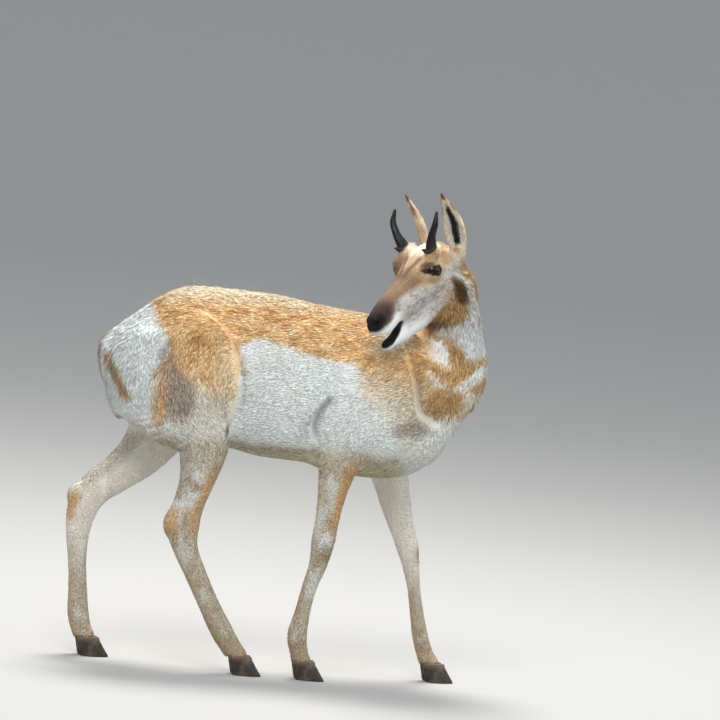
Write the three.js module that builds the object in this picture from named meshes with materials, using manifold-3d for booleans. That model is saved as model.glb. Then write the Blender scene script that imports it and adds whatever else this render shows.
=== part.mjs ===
import * as THREE from "three";
import { mergeVertices } from "three/addons/utils/BufferGeometryUtils.js";
import Module from "manifold-3d";

// A young male pronghorn, standing with its head turned back over its right shoulder.
// Millimetres, +X towards the chest, +Y to the animal's left, +Z up, hoof soles at Z = 0.
// The solids follow the outside of the coat, and thin cuts part the body into named pieces.

const PARTING_GAP = 0.3;
const BODY_SIDES = 22;
const NECK_SIDES = 18;
const HEAD_SIDES = 14;
const LEG_SIDES = 10;
const HORN_SIDES = 8;

// The head has its own frame: its origin is midway between the eyes,
// x runs to the nose, y to the head's left and z to the forehead side.
const HEAD_AT = [94, -116, 1017];
const HEAD_HEADING = -147.3;
const HEAD_PITCH = -40.5;
const HEAD_ROLL = 4.8;
const EYE_RADIUS = 20;
const EYE_OUT = 53;
const EYE_BACK = -5;
const EYE_UP = 8;
const ORBIT_WIDTH = 24;
const HORN_BASE = [-35, 47, 40];
const EAR_BASE = { left: [-92, 62, -12], right: [-86, 55, -8] };
const EAR_LEAN = { left: [-40, 0, 152], right: [-42, 12, 142] };
const FOOT_TRACK = 72;
// The body is measured from above its forelegs, and this puts the origin under its middle.
const PLACE = [171, 31, 0];

// Each hoof's place and the way its toes turn, in degrees.
const HOOVES = [
  ["fore_right", -72, -FOOT_TRACK, -4],
  ["fore_left", 284, FOOT_TRACK, 4],
  ["hind_right", -230, -FOOT_TRACK, -3],
  ["hind_left", -586, FOOT_TRACK, 3],
];
// Each leg's parting box, and the height of the joint that parts its upper and lower pieces.
const LEG_CUTS = [
  ["foreleg_right", [-20, -100, 200], [420, 172, 600], 318],
  ["foreleg_left", [190, 100, 200], [420, 172, 600], 300],
  ["hind_leg_right", [-380, -105, 220], [300, 190, 650], 322],
  ["hind_leg_left", [-560, 105, 220], [330, 190, 650], 330],
];

const wasm = await Module();
wasm.setup();

// One ring of a loft: where it lies, the way its first half-size points, and both half-sizes.
function ring(x, y, z, a, b) {
  return { at: new THREE.Vector3(x, y, z), a, b };
}

const FORWARD = new THREE.Vector3(1, 0, 0);

function curveOf(list, pick) {
  return new THREE.CatmullRomCurve3(list.map(pick), false, "catmullrom", 0.5);
}

// A closed loft through the rings. deep(t) gives the way the first half-size points,
// caps are the lengths of the rounded ends, and egg widens the side away from deep.
// The rings stand across the path, or all across the way that facing gives.
function loft(rings, { steps, sides, deep, caps, egg = 0, grow = 0, facing = null }) {
  const path = curveOf(rings, (r) => r.at);
  const sizes = curveOf(rings, (r) => new THREE.Vector3(r.a, r.b, 0));
  const points = [];
  const CAP_STEPS = 2;

  function wayAt(t) {
    return facing ? facing.clone() : path.getTangent(t).normalize();
  }

  function addRing(t, shrink, shift) {
    const along = wayAt(t);
    const first = deep(t).clone().addScaledVector(along, -deep(t).dot(along)).normalize();
    const second = new THREE.Vector3().crossVectors(along, first);
    const size = sizes.getPoint(t);
    const centre = path.getPoint(t).addScaledVector(along, shift);
    for (let side = 0; side < sides; side++) {
      const angle = (side * 2 * Math.PI) / sides;
      const a = (size.x + grow) * shrink * Math.cos(angle);
      const b = (size.y + grow) * shrink * Math.sin(angle) * (1 - egg * Math.cos(angle));
      points.push(centre.clone().addScaledVector(first, a).addScaledVector(second, b));
    }
  }

  for (let step = CAP_STEPS - 1; step > 0; step--) {
    const turn = (step * Math.PI) / (2 * CAP_STEPS);
    addRing(0, Math.cos(turn), -(caps[0] + grow) * Math.sin(turn));
  }
  for (let step = 0; step <= steps; step++) {
    addRing(step / steps, 1, 0);
  }
  for (let step = 1; step < CAP_STEPS; step++) {
    const turn = (step * Math.PI) / (2 * CAP_STEPS);
    addRing(1, Math.cos(turn), (caps[1] + grow) * Math.sin(turn));
  }
  const count = points.length / sides;
  const start = path.getPoint(0).addScaledVector(wayAt(0), -(caps[0] + grow));
  const end = path.getPoint(1).addScaledVector(wayAt(1), caps[1] + grow);
  points.push(start, end);

  const faces = [];
  for (let row = 0; row + 1 < count; row++) {
    for (let side = 0; side < sides; side++) {
      const next = (side + 1) % sides;
      const low = row * sides;
      const high = low + sides;
      faces.push(low + side, low + next, high + next);
      faces.push(low + side, high + next, high + side);
    }
  }
  for (let side = 0; side < sides; side++) {
    const next = (side + 1) % sides;
    const last = (count - 1) * sides;
    faces.push(count * sides, next, side);
    faces.push(count * sides + 1, last + side, last + next);
  }
  const geometry = new THREE.BufferGeometry().setFromPoints(points);
  geometry.setIndex(faces);
  return geometry;
}

function toward(x, y, z) {
  const way = new THREE.Vector3(x, y, z).normalize();
  return () => way;
}

function ball(x, y, z, rx, ry, rz, wide = 10, high = 6) {
  const geometry = new THREE.SphereGeometry(1, wide, high);
  geometry.scale(rx, ry, rz);
  geometry.translate(x, y, z);
  return geometry;
}

function solid(geometry) {
  const bare = geometry.clone();
  bare.deleteAttribute("normal");
  bare.deleteAttribute("uv");
  const merged = mergeVertices(bare, 1e-4);
  return new wasm.Manifold(
    new wasm.Mesh({
      numProp: 3,
      vertProperties: merged.attributes.position.array,
      triVerts: new Uint32Array(merged.index.array),
    }),
  );
}

function joined(solids) {
  return solids.reduce((whole, next) => whole.add(next));
}

function largest(body) {
  const bodies = body.decompose();
  return bodies.reduce((best, next) => (next.volume() > best.volume() ? next : best));
}

// A box that is larger by grow on every side, turned and placed by a matrix.
function box(centre, size, grow, matrix = new THREE.Matrix4()) {
  const geometry = new THREE.BoxGeometry(size[0] + 2 * grow, size[1] + 2 * grow, size[2] + 2 * grow);
  geometry.translate(...centre);
  geometry.applyMatrix4(matrix);
  return solid(geometry);
}

// Parts the body by a box, with the gap outside the box, and gives the inner and outer pieces.
function parted(body, centre, size, matrix) {
  const inner = largest(body.intersect(box(centre, size, 0, matrix)));
  const outer = largest(body.subtract(box(centre, size, PARTING_GAP, matrix)));
  return [inner, outer];
}

const headMatrix = new THREE.Matrix4()
  .makeTranslation(...HEAD_AT)
  .multiply(new THREE.Matrix4().makeRotationZ(THREE.MathUtils.degToRad(HEAD_HEADING)))
  .multiply(new THREE.Matrix4().makeRotationY(THREE.MathUtils.degToRad(-HEAD_PITCH)))
  .multiply(new THREE.Matrix4().makeRotationX(THREE.MathUtils.degToRad(HEAD_ROLL)));

function onHead(geometry) {
  return solid(geometry.clone().applyMatrix4(headMatrix));
}

// Trunk: rings that stand across the body, from the rump to the chest.
function trunk() {
  const rings = [
    ring(-628, 0, 735, 52, 56),
    ring(-600, 0, 735, 92, 92),
    ring(-560, 0, 732, 130, 116),
    ring(-500, 0, 742, 166, 130),
    ring(-440, 0, 746, 186, 136),
    ring(-380, 0, 743, 193, 125),
    ring(-300, 0, 736, 199, 123),
    ring(-220, 0, 727, 204, 134),
    ring(-120, 0, 718, 200, 140),
    ring(-30, 0, 706, 204, 138),
    ring(60, 0, 702, 201, 132),
    ring(130, 0, 704, 194, 122),
    ring(200, 0, 712, 172, 104),
    ring(238, 0, 728, 134, 88),
    ring(262, 0, 752, 104, 76),
    ring(285, 0, 765, 74, 60),
  ];
  return loft(rings, {
    steps: 17,
    sides: BODY_SIDES,
    deep: toward(0, 0, 1),
    caps: [16, 24],
    egg: 0.1,
    facing: FORWARD,
  });
}

function shoulders() {
  const masses = [];
  for (const side of [-1, 1]) {
    masses.push(solid(ball(60, side * 72, 730, 118, 68, 165)));
    masses.push(solid(ball(20, side * 92, 640, 100, 46, 100)));
  }
  return joined(masses);
}

// The brisket hangs between the forelegs and runs up into the chest.
function brisket() {
  const rings = [
    ring(-60, 0, 600, 80, 90),
    ring(60, 0, 590, 88, 92),
    ring(150, 0, 602, 86, 84),
    ring(196, 0, 632, 62, 74),
    ring(228, 0, 690, 42, 60),
  ];
  return loft(rings, {
    steps: 9,
    sides: 14,
    deep: toward(0, 0, -1),
    caps: [40, 26],
    facing: FORWARD,
  });
}

// Neck: the throat side turns from the chest round to the right as the neck rises.
const THROAT_HEADINGS = [0, -6, -30, -75, -120, -148];

function neck() {
  const rings = [
    ring(150, 0, 742, 150, 108),
    ring(196, -4, 806, 136, 98),
    ring(213, -24, 866, 94, 80),
    ring(208, -50, 930, 74, 65),
    ring(197, -68, 986, 65, 60),
    ring(168, -77, 1034, 56, 50),
  ];
  const headings = new THREE.CatmullRomCurve3(
    THROAT_HEADINGS.map((degrees) => new THREE.Vector3(degrees, 0, 0)),
  );
  const deep = (t) => {
    const heading = THREE.MathUtils.degToRad(headings.getPoint(t).x);
    return new THREE.Vector3(Math.cos(heading), Math.sin(heading), -0.35);
  };
  return loft(rings, { steps: 11, sides: NECK_SIDES, deep, caps: [40, 26] });
}

function skull() {
  const rings = [
    ring(-98, 0, -14, 36, 38),
    ring(-70, 0, -14, 52, 50),
    ring(-35, 0, -14, 58, 56),
    ring(0, 0, -18, 58, 58),
    ring(40, 0, -22, 52, 50),
    ring(85, 0, -20, 46, 39),
    ring(125, 0, -17, 41, 32),
    ring(160, 0, -14, 32, 29),
    ring(178, 0, -13, 25, 24),
  ];
  return loft(rings, { steps: 12, sides: HEAD_SIDES, deep: toward(0, 0, 1), caps: [14, 14] });
}

function orbits() {
  const bulges = [];
  for (const side of [-1, 1]) {
    bulges.push(onHead(ball(EYE_BACK - 2, side * 44, EYE_UP - 1, 34, ORBIT_WIDTH, 29)));
  }
  return joined(bulges);
}

function cheeks(grow) {
  const masses = [];
  for (const side of [-1, 1]) {
    masses.push(onHead(ball(-30, side * 26, -58, 50 + grow, 30 + grow, 50 + grow)));
  }
  return joined(masses);
}

function earRoots() {
  const roots = [];
  for (const side of [-1, 1]) {
    roots.push(onHead(ball(-84, side * 46, -18, 28, 24, 26, 8, 5)));
  }
  return joined(roots);
}

function lowerJaw(grow) {
  const rings = [
    ring(-40, 0, -70, 42, 34),
    ring(10, 0, -84, 38, 35),
    ring(60, 0, -88, 33, 31),
    ring(105, 0, -85, 26, 26),
    ring(128, 0, -84, 23, 24),
    ring(152, 0, -83, 17, 20),
    ring(174, 0, -80, 12, 15),
  ];
  return loft(rings, { steps: 9, sides: 12, deep: toward(0, 0, 1), caps: [16, 12], grow });
}

// An ear is a leaf-shaped cup, hollow on the side that faces out and forwards.
function ear(side) {
  const name = side > 0 ? "left" : "right";
  const [x, y, z] = EAR_BASE[name];
  const lean = EAR_LEAN[name];
  const widths = [17, 24, 26, 22, 14, 5];
  const outer = widths.map((width, index) => {
    const t = index / (widths.length - 1);
    const bend = 10 * Math.sin(Math.PI * t);
    return ring(x + lean[0] * t - bend, side * (y + lean[1] * t), z + lean[2] * t, width, width * 0.62);
  });
  const hollow = outer.slice(1).map((r) => {
    const copy = ring(r.at.x, r.at.y, r.at.z, r.a * 0.8, r.b * 0.82);
    copy.at.add(new THREE.Vector3(9, side * 10, 3));
    return copy;
  });
  const deep = toward(0.62, -side * 0.78, 0);
  const shell = onHead(loft(outer, { steps: 7, sides: 12, deep, caps: [10, 6] }));
  const cup = onHead(loft(hollow, { steps: 6, sides: 10, deep, caps: [4, 3] }));
  return shell.subtract(cup);
}

// A horn is flattened from side to side, with a small prong at the front near its base.
function horn(side, grow) {
  const [x, y, z] = HORN_BASE;
  const rings = [
    ring(x, side * y, z - 4, 17, 11),
    ring(x - 4, side * (y + 6), z + 18, 15, 10.5),
    ring(x - 12, side * (y + 17), z + 42, 10.5, 8.5),
    ring(x - 28, side * (y + 29), z + 65, 8, 7),
    ring(x - 46, side * (y + 29), z + 82, 4.5, 4),
  ];
  const deep = toward(0.9, 0, 0.35);
  const shaft = onHead(loft(rings, { steps: 7, sides: HORN_SIDES, deep, caps: [6, 9], grow }));
  const prongRings = [
    ring(x, side * (y + 2), z + 4, 9, 7),
    ring(x + 14, side * (y + 3), z + 16, 6, 5),
    ring(x + 20, side * (y + 3), z + 24, 3, 3),
  ];
  const prong = onHead(loft(prongRings, { steps: 2, sides: 6, deep: toward(1, 0, -0.6), caps: [4, 4], grow }));
  return shaft.add(prong);
}

// Foreleg and hind-leg rings run from inside the body down to the coronet.
const FORE_RIGHT = [
  [-5, -80, 690, 104, 48],
  [-20, -86, 625, 90, 46],
  [-40, -86, 560, 63, 38],
  [-48, -84, 505, 47, 32],
  [-53, -82, 450, 37, 29],
  [-57, -80, 392, 32, 27],
  [-61, -79, 343, 32, 28],
  [-67, -78, 288, 25.5, 24],
  [-83, -76, 225, 21, 21],
  [-93, -75, 165, 22, 20],
  [-100, -74, 110, 27, 25],
  [-92, -73, 68, 25, 25],
  [-80, -72, 36, 27, 27],
];
const FORE_LEFT = [
  [60, 76, 690, 100, 48],
  [88, 82, 610, 76, 44],
  [120, 84, 515, 52, 36],
  [146, 83, 434, 41, 30],
  [172, 81, 366, 33.5, 28],
  [187, 80, 327, 30, 28],
  [199, 79, 285, 24.5, 24],
  [211, 77, 235, 19.5, 21],
  [223, 75, 180, 19.5, 20],
  [240, 74, 113, 22.5, 24],
  [256, 73, 70, 24, 24],
  [273, 72, 40, 27, 27],
];
const HIND_RIGHT = [
  [-448, -60, 790, 112, 66],
  [-446, -82, 700, 136, 64],
  [-430, -86, 635, 118, 60],
  [-398, -88, 585, 86, 49],
  [-382, -87, 540, 64, 42],
  [-388, -85, 470, 47, 35],
  [-402, -83, 410, 41, 30],
  [-412, -81, 355, 45, 29],
  [-398, -79, 298, 33, 27],
  [-368, -77, 240, 29, 24],
  [-330, -75, 172, 28, 22],
  [-290, -73, 107, 30, 26],
  [-262, -72, 68, 28, 25],
  [-242, -72, 41, 29, 28],
];
const HIND_LEFT = [
  [-450, 60, 790, 112, 66],
  [-452, 80, 700, 130, 64],
  [-452, 86, 630, 108, 60],
  [-466, 86, 568, 80, 48],
  [-503, 86, 504, 62, 41],
  [-556, 85, 452, 50, 35],
  [-606, 83, 410, 45, 31],
  [-633, 81, 362, 41, 29],
  [-640, 80, 304, 33, 27],
  [-636, 78, 240, 26, 24],
  [-628, 76, 170, 26, 22],
  [-621, 74, 108, 29, 26],
  [-610, 73, 68, 28, 25],
  [-596, 72, 41, 28, 27],
];
const HOCK_POINTS = [
  [-440, -81, 356, 21, 17, 30],
  [-656, 82, 392, 22, 17, 28],
];

function leg(rows) {
  const rings = rows.map((row) => ring(...row));
  return loft(rings, { steps: 17, sides: LEG_SIDES, deep: toward(1, 0, 0), caps: [30, 6] });
}

function hindLegs() {
  const hocks = HOCK_POINTS.map((point) => solid(ball(...point, 10, 6)));
  return joined([solid(leg(HIND_RIGHT)), solid(leg(HIND_LEFT)), ...hocks]);
}

function tail() {
  const rings = [
    ring(-600, 0, 806, 14, 30),
    ring(-631, 0, 776, 13, 29),
    ring(-634, 0, 735, 12, 27),
    ring(-618, 0, 694, 11, 22),
    ring(-597, 0, 660, 9, 14),
  ];
  return loft(rings, { steps: 7, sides: 10, deep: toward(-1, 0, 0.3), caps: [8, 10] });
}

// A hoof is two claws joined behind their cleft, sloping down to a flat sole.
const HOOF_HEIGHT = 42;
const CLAW_LENGTH = 36;
const CLAW_WIDTH = 26;

function clawOutline(z, side) {
  const lean = 1 - z / HOOF_HEIGHT;
  const points = [];
  const COUNT = 9;
  for (let index = 0; index < COUNT; index++) {
    const angle = (index * 2 * Math.PI) / COUNT;
    const front = Math.cos(angle) > 0 ? 1 + 0.35 * lean : 1;
    const narrow = Math.cos(angle) > 0 ? 1 - 0.35 * Math.cos(angle) ** 2 : 1;
    const x = (CLAW_LENGTH - 6 + 4 * lean) * front * Math.cos(angle) * 0.92 + 14 * lean - 6;
    const y = CLAW_WIDTH * 0.5 * Math.sin(angle) * narrow + side * (CLAW_WIDTH * 0.5 + 1.2);
    points.push(new THREE.Vector3(x, y, z));
  }
  return points;
}

function claw(side) {
  const LEVELS = [0, 8, HOOF_HEIGHT];
  const rows = LEVELS.map((z) => clawOutline(z, side));
  const count = rows[0].length;
  const points = rows.flat();
  const faces = [];
  for (let level = 0; level + 1 < LEVELS.length; level++) {
    for (let index = 0; index < count; index++) {
      const next = (index + 1) % count;
      const low = level * count;
      const high = low + count;
      faces.push(low + index, low + next, high + next);
      faces.push(low + index, high + next, high + index);
    }
  }
  const last = (LEVELS.length - 1) * count;
  for (let index = 1; index + 1 < count; index++) {
    faces.push(0, index + 1, index);
    faces.push(last, last + index, last + index + 1);
  }
  const geometry = new THREE.BufferGeometry().setFromPoints(points);
  geometry.setIndex(faces);
  return solid(geometry);
}

function hoof(x, y, turn) {
  const bridge = solid(ball(-12, 0, 26, 14, 12, 13, 8, 5));
  const place = new THREE.Matrix4()
    .makeTranslation(x, y, 0)
    .multiply(new THREE.Matrix4().makeRotationZ(THREE.MathUtils.degToRad(turn)));
  return joined([claw(-1), claw(1), bridge]).transform(place.elements);
}

function material(hex, roughness) {
  return new THREE.MeshStandardMaterial({ color: hex, roughness, metalness: 0 });
}

const tan = material("#c9a070", 0.95);
const cream = material("#ddcfb8", 0.95);
const brown = material("#8a6a4c", 0.95);
const hornBlack = material("#2b2725", 0.55);
const hoofBlack = material("#2d2926", 0.5);
const eyeDark = material("#2a1a10", 0.1);

const group = new THREE.Group();
group.position.set(...PLACE);

function addNode(name, body, look) {
  const result = largest(body).getMesh();
  const geometry = new THREE.BufferGeometry();
  geometry.setAttribute("position", new THREE.BufferAttribute(result.vertProperties, 3));
  geometry.setIndex(new THREE.BufferAttribute(result.triVerts, 1));
  const mesh = new THREE.Mesh(geometry, look);
  mesh.name = name;
  group.add(mesh);
}

// The head with its sockets, and the rest of the flesh, parted at the throat by one plane.
let head = joined([
  onHead(skull()),
  orbits(),
  cheeks(0),
  earRoots(),
  onHead(lowerJaw(0)),
  ear(1),
  ear(-1),
]);

function eyeball(side, grow) {
  const radius = EYE_RADIUS + grow;
  return onHead(ball(EYE_BACK, side * EYE_OUT, EYE_UP, radius, radius, radius, 12, 7));
}

const SIDES = [["left", 1], ["right", -1]];
for (const [name, side] of SIDES) {
  head = head.subtract(eyeball(side, PARTING_GAP)).subtract(horn(side, PARTING_GAP));
  addNode("eye_" + name, eyeball(side, 0), eyeDark);
  addNode("horn_" + name, horn(side, 0), hornBlack);
}
const throatCut = headMatrix
  .clone()
  .multiply(new THREE.Matrix4().makeTranslation(-100, 0, -20))
  .multiply(new THREE.Matrix4().makeRotationY(THREE.MathUtils.degToRad(-42)));
const HEAD_ROOM = [[200, 0, 0], [400, 240, 620]];
const THROAT_ROOM = [[200, 0, 80], [400, 240, 460]];
const neckSolid = solid(neck());
head = head
  .intersect(box(...HEAD_ROOM, 0, throatCut))
  .add(neckSolid.intersect(box(...THROAT_ROOM, 0, throatCut)));
for (const [name, side] of SIDES) {
  const [piece, rest] = parted(head, [-150, side * 88, 112], [210, 120, 200], headMatrix);
  head = rest;
  addNode("ear_" + name, piece, cream);
}
const [jaw, upper] = parted(head, [120, 0, -129], [160, 120, 126], headMatrix);
addNode("lower_jaw", jaw, cream);
addNode("head", upper, cream);

let flesh = joined([
  solid(trunk()),
  shoulders(),
  solid(brisket()),
  neckSolid
    .subtract(box(...THROAT_ROOM, PARTING_GAP, throatCut))
    .subtract(onHead(lowerJaw(2 * PARTING_GAP)))
    .subtract(cheeks(2 * PARTING_GAP)),
  solid(leg(FORE_RIGHT)),
  solid(leg(FORE_LEFT)),
  hindLegs(),
  solid(tail()),
]);

// The hooves stand on the floor, and the legs end flat above them.
flesh = flesh.subtract(box([-150, 0, -30], [1200, 400, 2 * (HOOF_HEIGHT + 30)], PARTING_GAP));
for (const [name, x, y, turn] of HOOVES) {
  addNode("hoof_" + name, hoof(x, y, turn), hoofBlack);
}

// Each cut takes a piece off the flesh: the box's centre and size, and the frame it is in.
function take(centre, size, matrix) {
  const [inner, outer] = parted(flesh, centre, size, matrix);
  flesh = outer;
  return inner;
}

const neckCut = new THREE.Matrix4()
  .makeTranslation(196, 0, 806)
  .multiply(new THREE.Matrix4().makeRotationY(THREE.MathUtils.degToRad(39)));
addNode("neck", take([0, 0, 250], [500, 400, 500], neckCut), tan);
addNode("tail", take([-690, 0, 720], [110, 90, 200]), brown);
for (const [name, centre, size, middle] of LEG_CUTS) {
  const whole = take(centre, size);
  const [lower, upperLeg] = parted(whole, [centre[0], centre[1], middle - 500], [size[0] + 20, size[1] + 20, 1000]);
  addNode(name + "_lower", lower, cream);
  addNode(name + "_upper", upperLeg, cream);
}
addNode("trunk", flesh, tan);

export default group;
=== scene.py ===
# A young male pronghorn that stands with its head turned back over its right shoulder.
# One skin covers the flesh of the frame, and its spring coat lies over it in mesh tufts.
# Lengths are millimetres in the body's own frame: +X to the chest, +Y to the animal's left,
# +Z up, hoof soles at 0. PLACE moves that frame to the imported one.
import math

import bpy
import numpy as np
from mathutils import Matrix, Vector

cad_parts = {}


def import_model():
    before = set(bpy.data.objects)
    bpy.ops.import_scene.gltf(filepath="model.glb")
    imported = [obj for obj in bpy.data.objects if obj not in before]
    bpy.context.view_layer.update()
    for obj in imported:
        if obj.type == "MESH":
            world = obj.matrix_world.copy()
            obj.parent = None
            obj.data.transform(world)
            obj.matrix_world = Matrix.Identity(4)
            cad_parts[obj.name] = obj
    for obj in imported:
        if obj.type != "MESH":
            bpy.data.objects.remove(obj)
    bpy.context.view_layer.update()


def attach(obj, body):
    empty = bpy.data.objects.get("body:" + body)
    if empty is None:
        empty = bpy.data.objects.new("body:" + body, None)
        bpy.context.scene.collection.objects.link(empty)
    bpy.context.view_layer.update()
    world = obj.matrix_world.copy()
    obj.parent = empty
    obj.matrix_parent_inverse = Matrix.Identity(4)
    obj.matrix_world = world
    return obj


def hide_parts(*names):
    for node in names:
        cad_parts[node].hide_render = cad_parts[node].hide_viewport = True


PLACE = np.array([171.0, 31.0, 0.0])
SEED = 11
FAR = 60.0

# How far the skin lies inside the solids, where the coat fills the rest.
BODY_COAT = 8.0
NECK_COAT = 8.0
LEG_COAT = 3.5
HEAD_COAT = 2.5
EAR_COAT = 1.0

# The head's own frame: x runs to the nose, y to the head's left and z to the forehead side.
HEAD_AT = np.array([94.0, -116.0, 1017.0])
HEAD_HEADING = -147.3
HEAD_PITCH = -40.5
HEAD_ROLL = 4.8
EYE_AT = np.array([-5.0, 53.0, 8.0])
# The eye's corners lie on a line that climbs towards the front by this angle.
EYE_SLANT = 30.0
EYE_RADIUS = 20.0
HORN_BASE = (-35.0, 47.0, 40.0)
EAR_BASE = {"left": (-92.0, 62.0, -12.0), "right": (-86.0, 55.0, -8.0)}
EAR_LEAN = {"left": (-40.0, 0.0, 152.0), "right": (-42.0, 12.0, 142.0)}
EAR_WIDTHS = (17.0, 24.0, 26.0, 22.0, 14.0, 5.0)
HOOF_HEIGHT = 42.0
FOOT_TRACK = 72.0
CLAW_LENGTH = 36.0
CLAW_WIDTH = 26.0

# How fine the meshes are. The head and the neck have the fine grid.
COARSE = 5.0
FINE = 2.6
SKIN_TRIANGLES = 190000
PIECE_TRIANGLES = 190000
TUFTS = 142000
STRAY_HAIRS = 110


# Small maths


def unit(v):
    return v / np.maximum(np.linalg.norm(v, axis=-1, keepdims=True), 1e-9)


def smooth(value, low, high):
    t = np.clip((value - low) / (high - low), 0.0, 1.0)
    return t * t * (3.0 - 2.0 * t)


def bump(value, low, high, soft):
    """1 between low and high, falling to 0 over soft on both sides."""
    return smooth(value, low - soft, low + soft) * (1.0 - smooth(value, high - soft, high + soft))


def spot(points, centre, size, soft=0.35):
    """1 inside an ellipsoid, falling to 0 over a share soft of its size."""
    d = np.linalg.norm((points - np.array(centre)) / np.array(size), axis=1)
    return 1.0 - smooth(d, 1.0 - soft, 1.0 + soft)


# Odd numbers that scramble a cell's place into noise, and the size of a word.
SCRAMBLE = np.array([374761393, 668265263, 1440662683])
SCRAMBLE_SEED = 1274126177
WORD = 0xFFFFFFFF
HALF_WORD = 0xFFFF


def noise(points, size, seed=0):
    """Smooth noise from 0 to 1, with features about size across."""
    q = np.asarray(points, dtype=np.float64) / size
    cell = np.floor(q).astype(np.int64)
    f = q - cell
    f = f * f * (3.0 - 2.0 * f)
    total = np.zeros(len(q))
    for corner in range(8):
        bits = np.array([corner & 1, corner >> 1 & 1, corner >> 2 & 1])
        h = ((cell + bits) @ SCRAMBLE + seed * SCRAMBLE_SEED) & WORD
        h = ((h ^ (h >> 13)) * SCRAMBLE_SEED) & WORD
        h = (h ^ (h >> 16)) & HALF_WORD
        total += np.prod(np.where(bits == 1, f, 1.0 - f), axis=1) * h / HALF_WORD
    return total


def ripple(points, size, seed=0):
    """Two octaves of noise, from -1 to 1."""
    return 1.3 * (noise(points, size, seed) - 0.5) + 0.7 * (noise(points, size * 0.4, seed + 5) - 0.5)


def one_side(points, side):
    """Both sides of the animal as the one on that side: 1 left, -1 right."""
    return points * (1, 0, 1) + np.abs(points[:, 1:2]) * (0, side, 0)


def turn(axis, degrees):
    c, s = math.cos(math.radians(degrees)), math.sin(math.radians(degrees))
    i, j = [(1, 2), (2, 0), (0, 1)][axis]
    m = np.eye(3)
    m[i, i] = m[j, j] = c
    m[i, j] = -s
    m[j, i] = s
    return m


HEAD_AXES = turn(2, HEAD_HEADING) @ turn(1, -HEAD_PITCH) @ turn(0, HEAD_ROLL)


def to_head(points):
    return (points - HEAD_AT) @ HEAD_AXES


def from_head(points):
    return points @ HEAD_AXES.T + HEAD_AT


def spline(rows, count):
    """Catmull-Rom samples through the rows."""
    rows = np.asarray(rows, dtype=float)
    ends = np.vstack([2 * rows[0] - rows[1], rows, 2 * rows[-1] - rows[-2]])
    t = np.linspace(0.0, len(rows) - 1.0, count)
    i = np.minimum(t.astype(int), len(rows) - 2)
    f = (t - i)[:, None]
    p0, p1, p2, p3 = ends[i], ends[i + 1], ends[i + 2], ends[i + 3]
    return 0.5 * (
        2 * p1 + (p2 - p0) * f + (2 * p0 - 5 * p1 + 4 * p2 - p3) * f**2 + (3 * p1 - p0 - 3 * p2 + p3) * f**3
    )


# Shapes: each gives its distance from points, less than 0 inside


def ellipse_distance(x1, x2, x3, a, b, c):
    k0 = np.sqrt((x1 / a) ** 2 + (x2 / b) ** 2 + (x3 / c) ** 2)
    k1 = np.sqrt((x1 / a**2) ** 2 + (x2 / b**2) ** 2 + (x3 / c**2) ** 2)
    return k0 * (k0 - 1.0) / np.maximum(k1, 1e-6)


class Ball:
    """An ellipsoid. local means it is in the head's frame, and slant turns it from x towards z."""

    def __init__(self, centre, radii, local=False, shrink=0.0, slant=0.0):
        self.centre = np.array(centre, dtype=float)
        self.radii = np.array(radii, dtype=float) - shrink
        self.local = local
        self.turned = turn(1, -slant)
        reach = self.radii.max()
        middle = from_head(self.centre[None])[0] if local else self.centre
        size = reach if local else self.radii
        self.low, self.high = middle - size, middle + size

    def distance(self, points):
        q = ((to_head(points) if self.local else points) - self.centre) @ self.turned
        return ellipse_distance(q[:, 0], q[:, 1], q[:, 2], *self.radii)


class Sweep:
    """Elliptical sections along a path, with rounded ends.

    rows are x, y, z and the half-sizes; deep is the way of the first one, or one way for each row.
    """

    def __init__(self, rows, deep, caps, count=72, local=False, shrink=0.0):
        data = spline(rows, count)
        self.at = data[:, :3]
        self.half = np.maximum(data[:, 3:5] - shrink, 1.2)
        self.along = unit(np.gradient(self.at, axis=0))
        self.step = np.linalg.norm(np.diff(self.at, axis=0), axis=1).mean()
        way = np.asarray(deep, dtype=float)
        if way.ndim == 2:
            way = spline(way, count)
        way = np.broadcast_to(way, self.at.shape)
        self.first = unit(way - (way * self.along).sum(1, keepdims=True) * self.along)
        self.second = np.cross(self.along, self.first)
        self.caps = np.maximum(np.array(caps, dtype=float) - shrink, 1.5)
        self.local = local
        middle = from_head(self.at) if local else self.at
        reach = max(self.half.max(), self.caps.max())
        self.low, self.high = middle.min(0) - reach, middle.max(0) + reach

    def locate(self, points):
        """Nearest sample, place across it and along it, all in the sweep's own frame."""
        p = to_head(points) if self.local else points
        nearest = np.empty(len(p), dtype=np.int32)
        centre_part = (self.at**2).sum(1)
        for start in range(0, len(p), 200000):
            part = p[start : start + 200000]
            nearest[start : start + 200000] = np.argmin(centre_part - 2.0 * part @ self.at.T, axis=1)
        q = p - self.at[nearest]
        s = (q * self.along[nearest]).sum(1)
        q = q - s[:, None] * self.along[nearest]
        return nearest, (q * self.first[nearest]).sum(1), (q * self.second[nearest]).sum(1), s

    def distance(self, points):
        nearest, x1, x2, s = self.locate(points)
        last = len(self.at) - 1
        place = np.clip(nearest + s / self.step, 0, last)
        low = np.minimum(place.astype(int), last - 1)
        share = (place - low)[:, None]
        half = self.half[low] * (1 - share) + self.half[low + 1] * share
        over_start = (nearest == 0) & (s < 0)
        over_end = (nearest == last) & (s > 0)
        x3 = np.where(over_start | over_end, s, 0.0)
        cap = np.where(over_start, self.caps[0], self.caps[1])
        return ellipse_distance(x1, x2, x3, half[:, 0], half[:, 1], cap)

    def place(self, points):
        """How far along from 0 to 1, and the angle round from the deep side in degrees."""
        nearest, x1, x2, _ = self.locate(points)
        return nearest / (len(self.at) - 1), np.degrees(np.arctan2(x2, x1))


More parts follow.
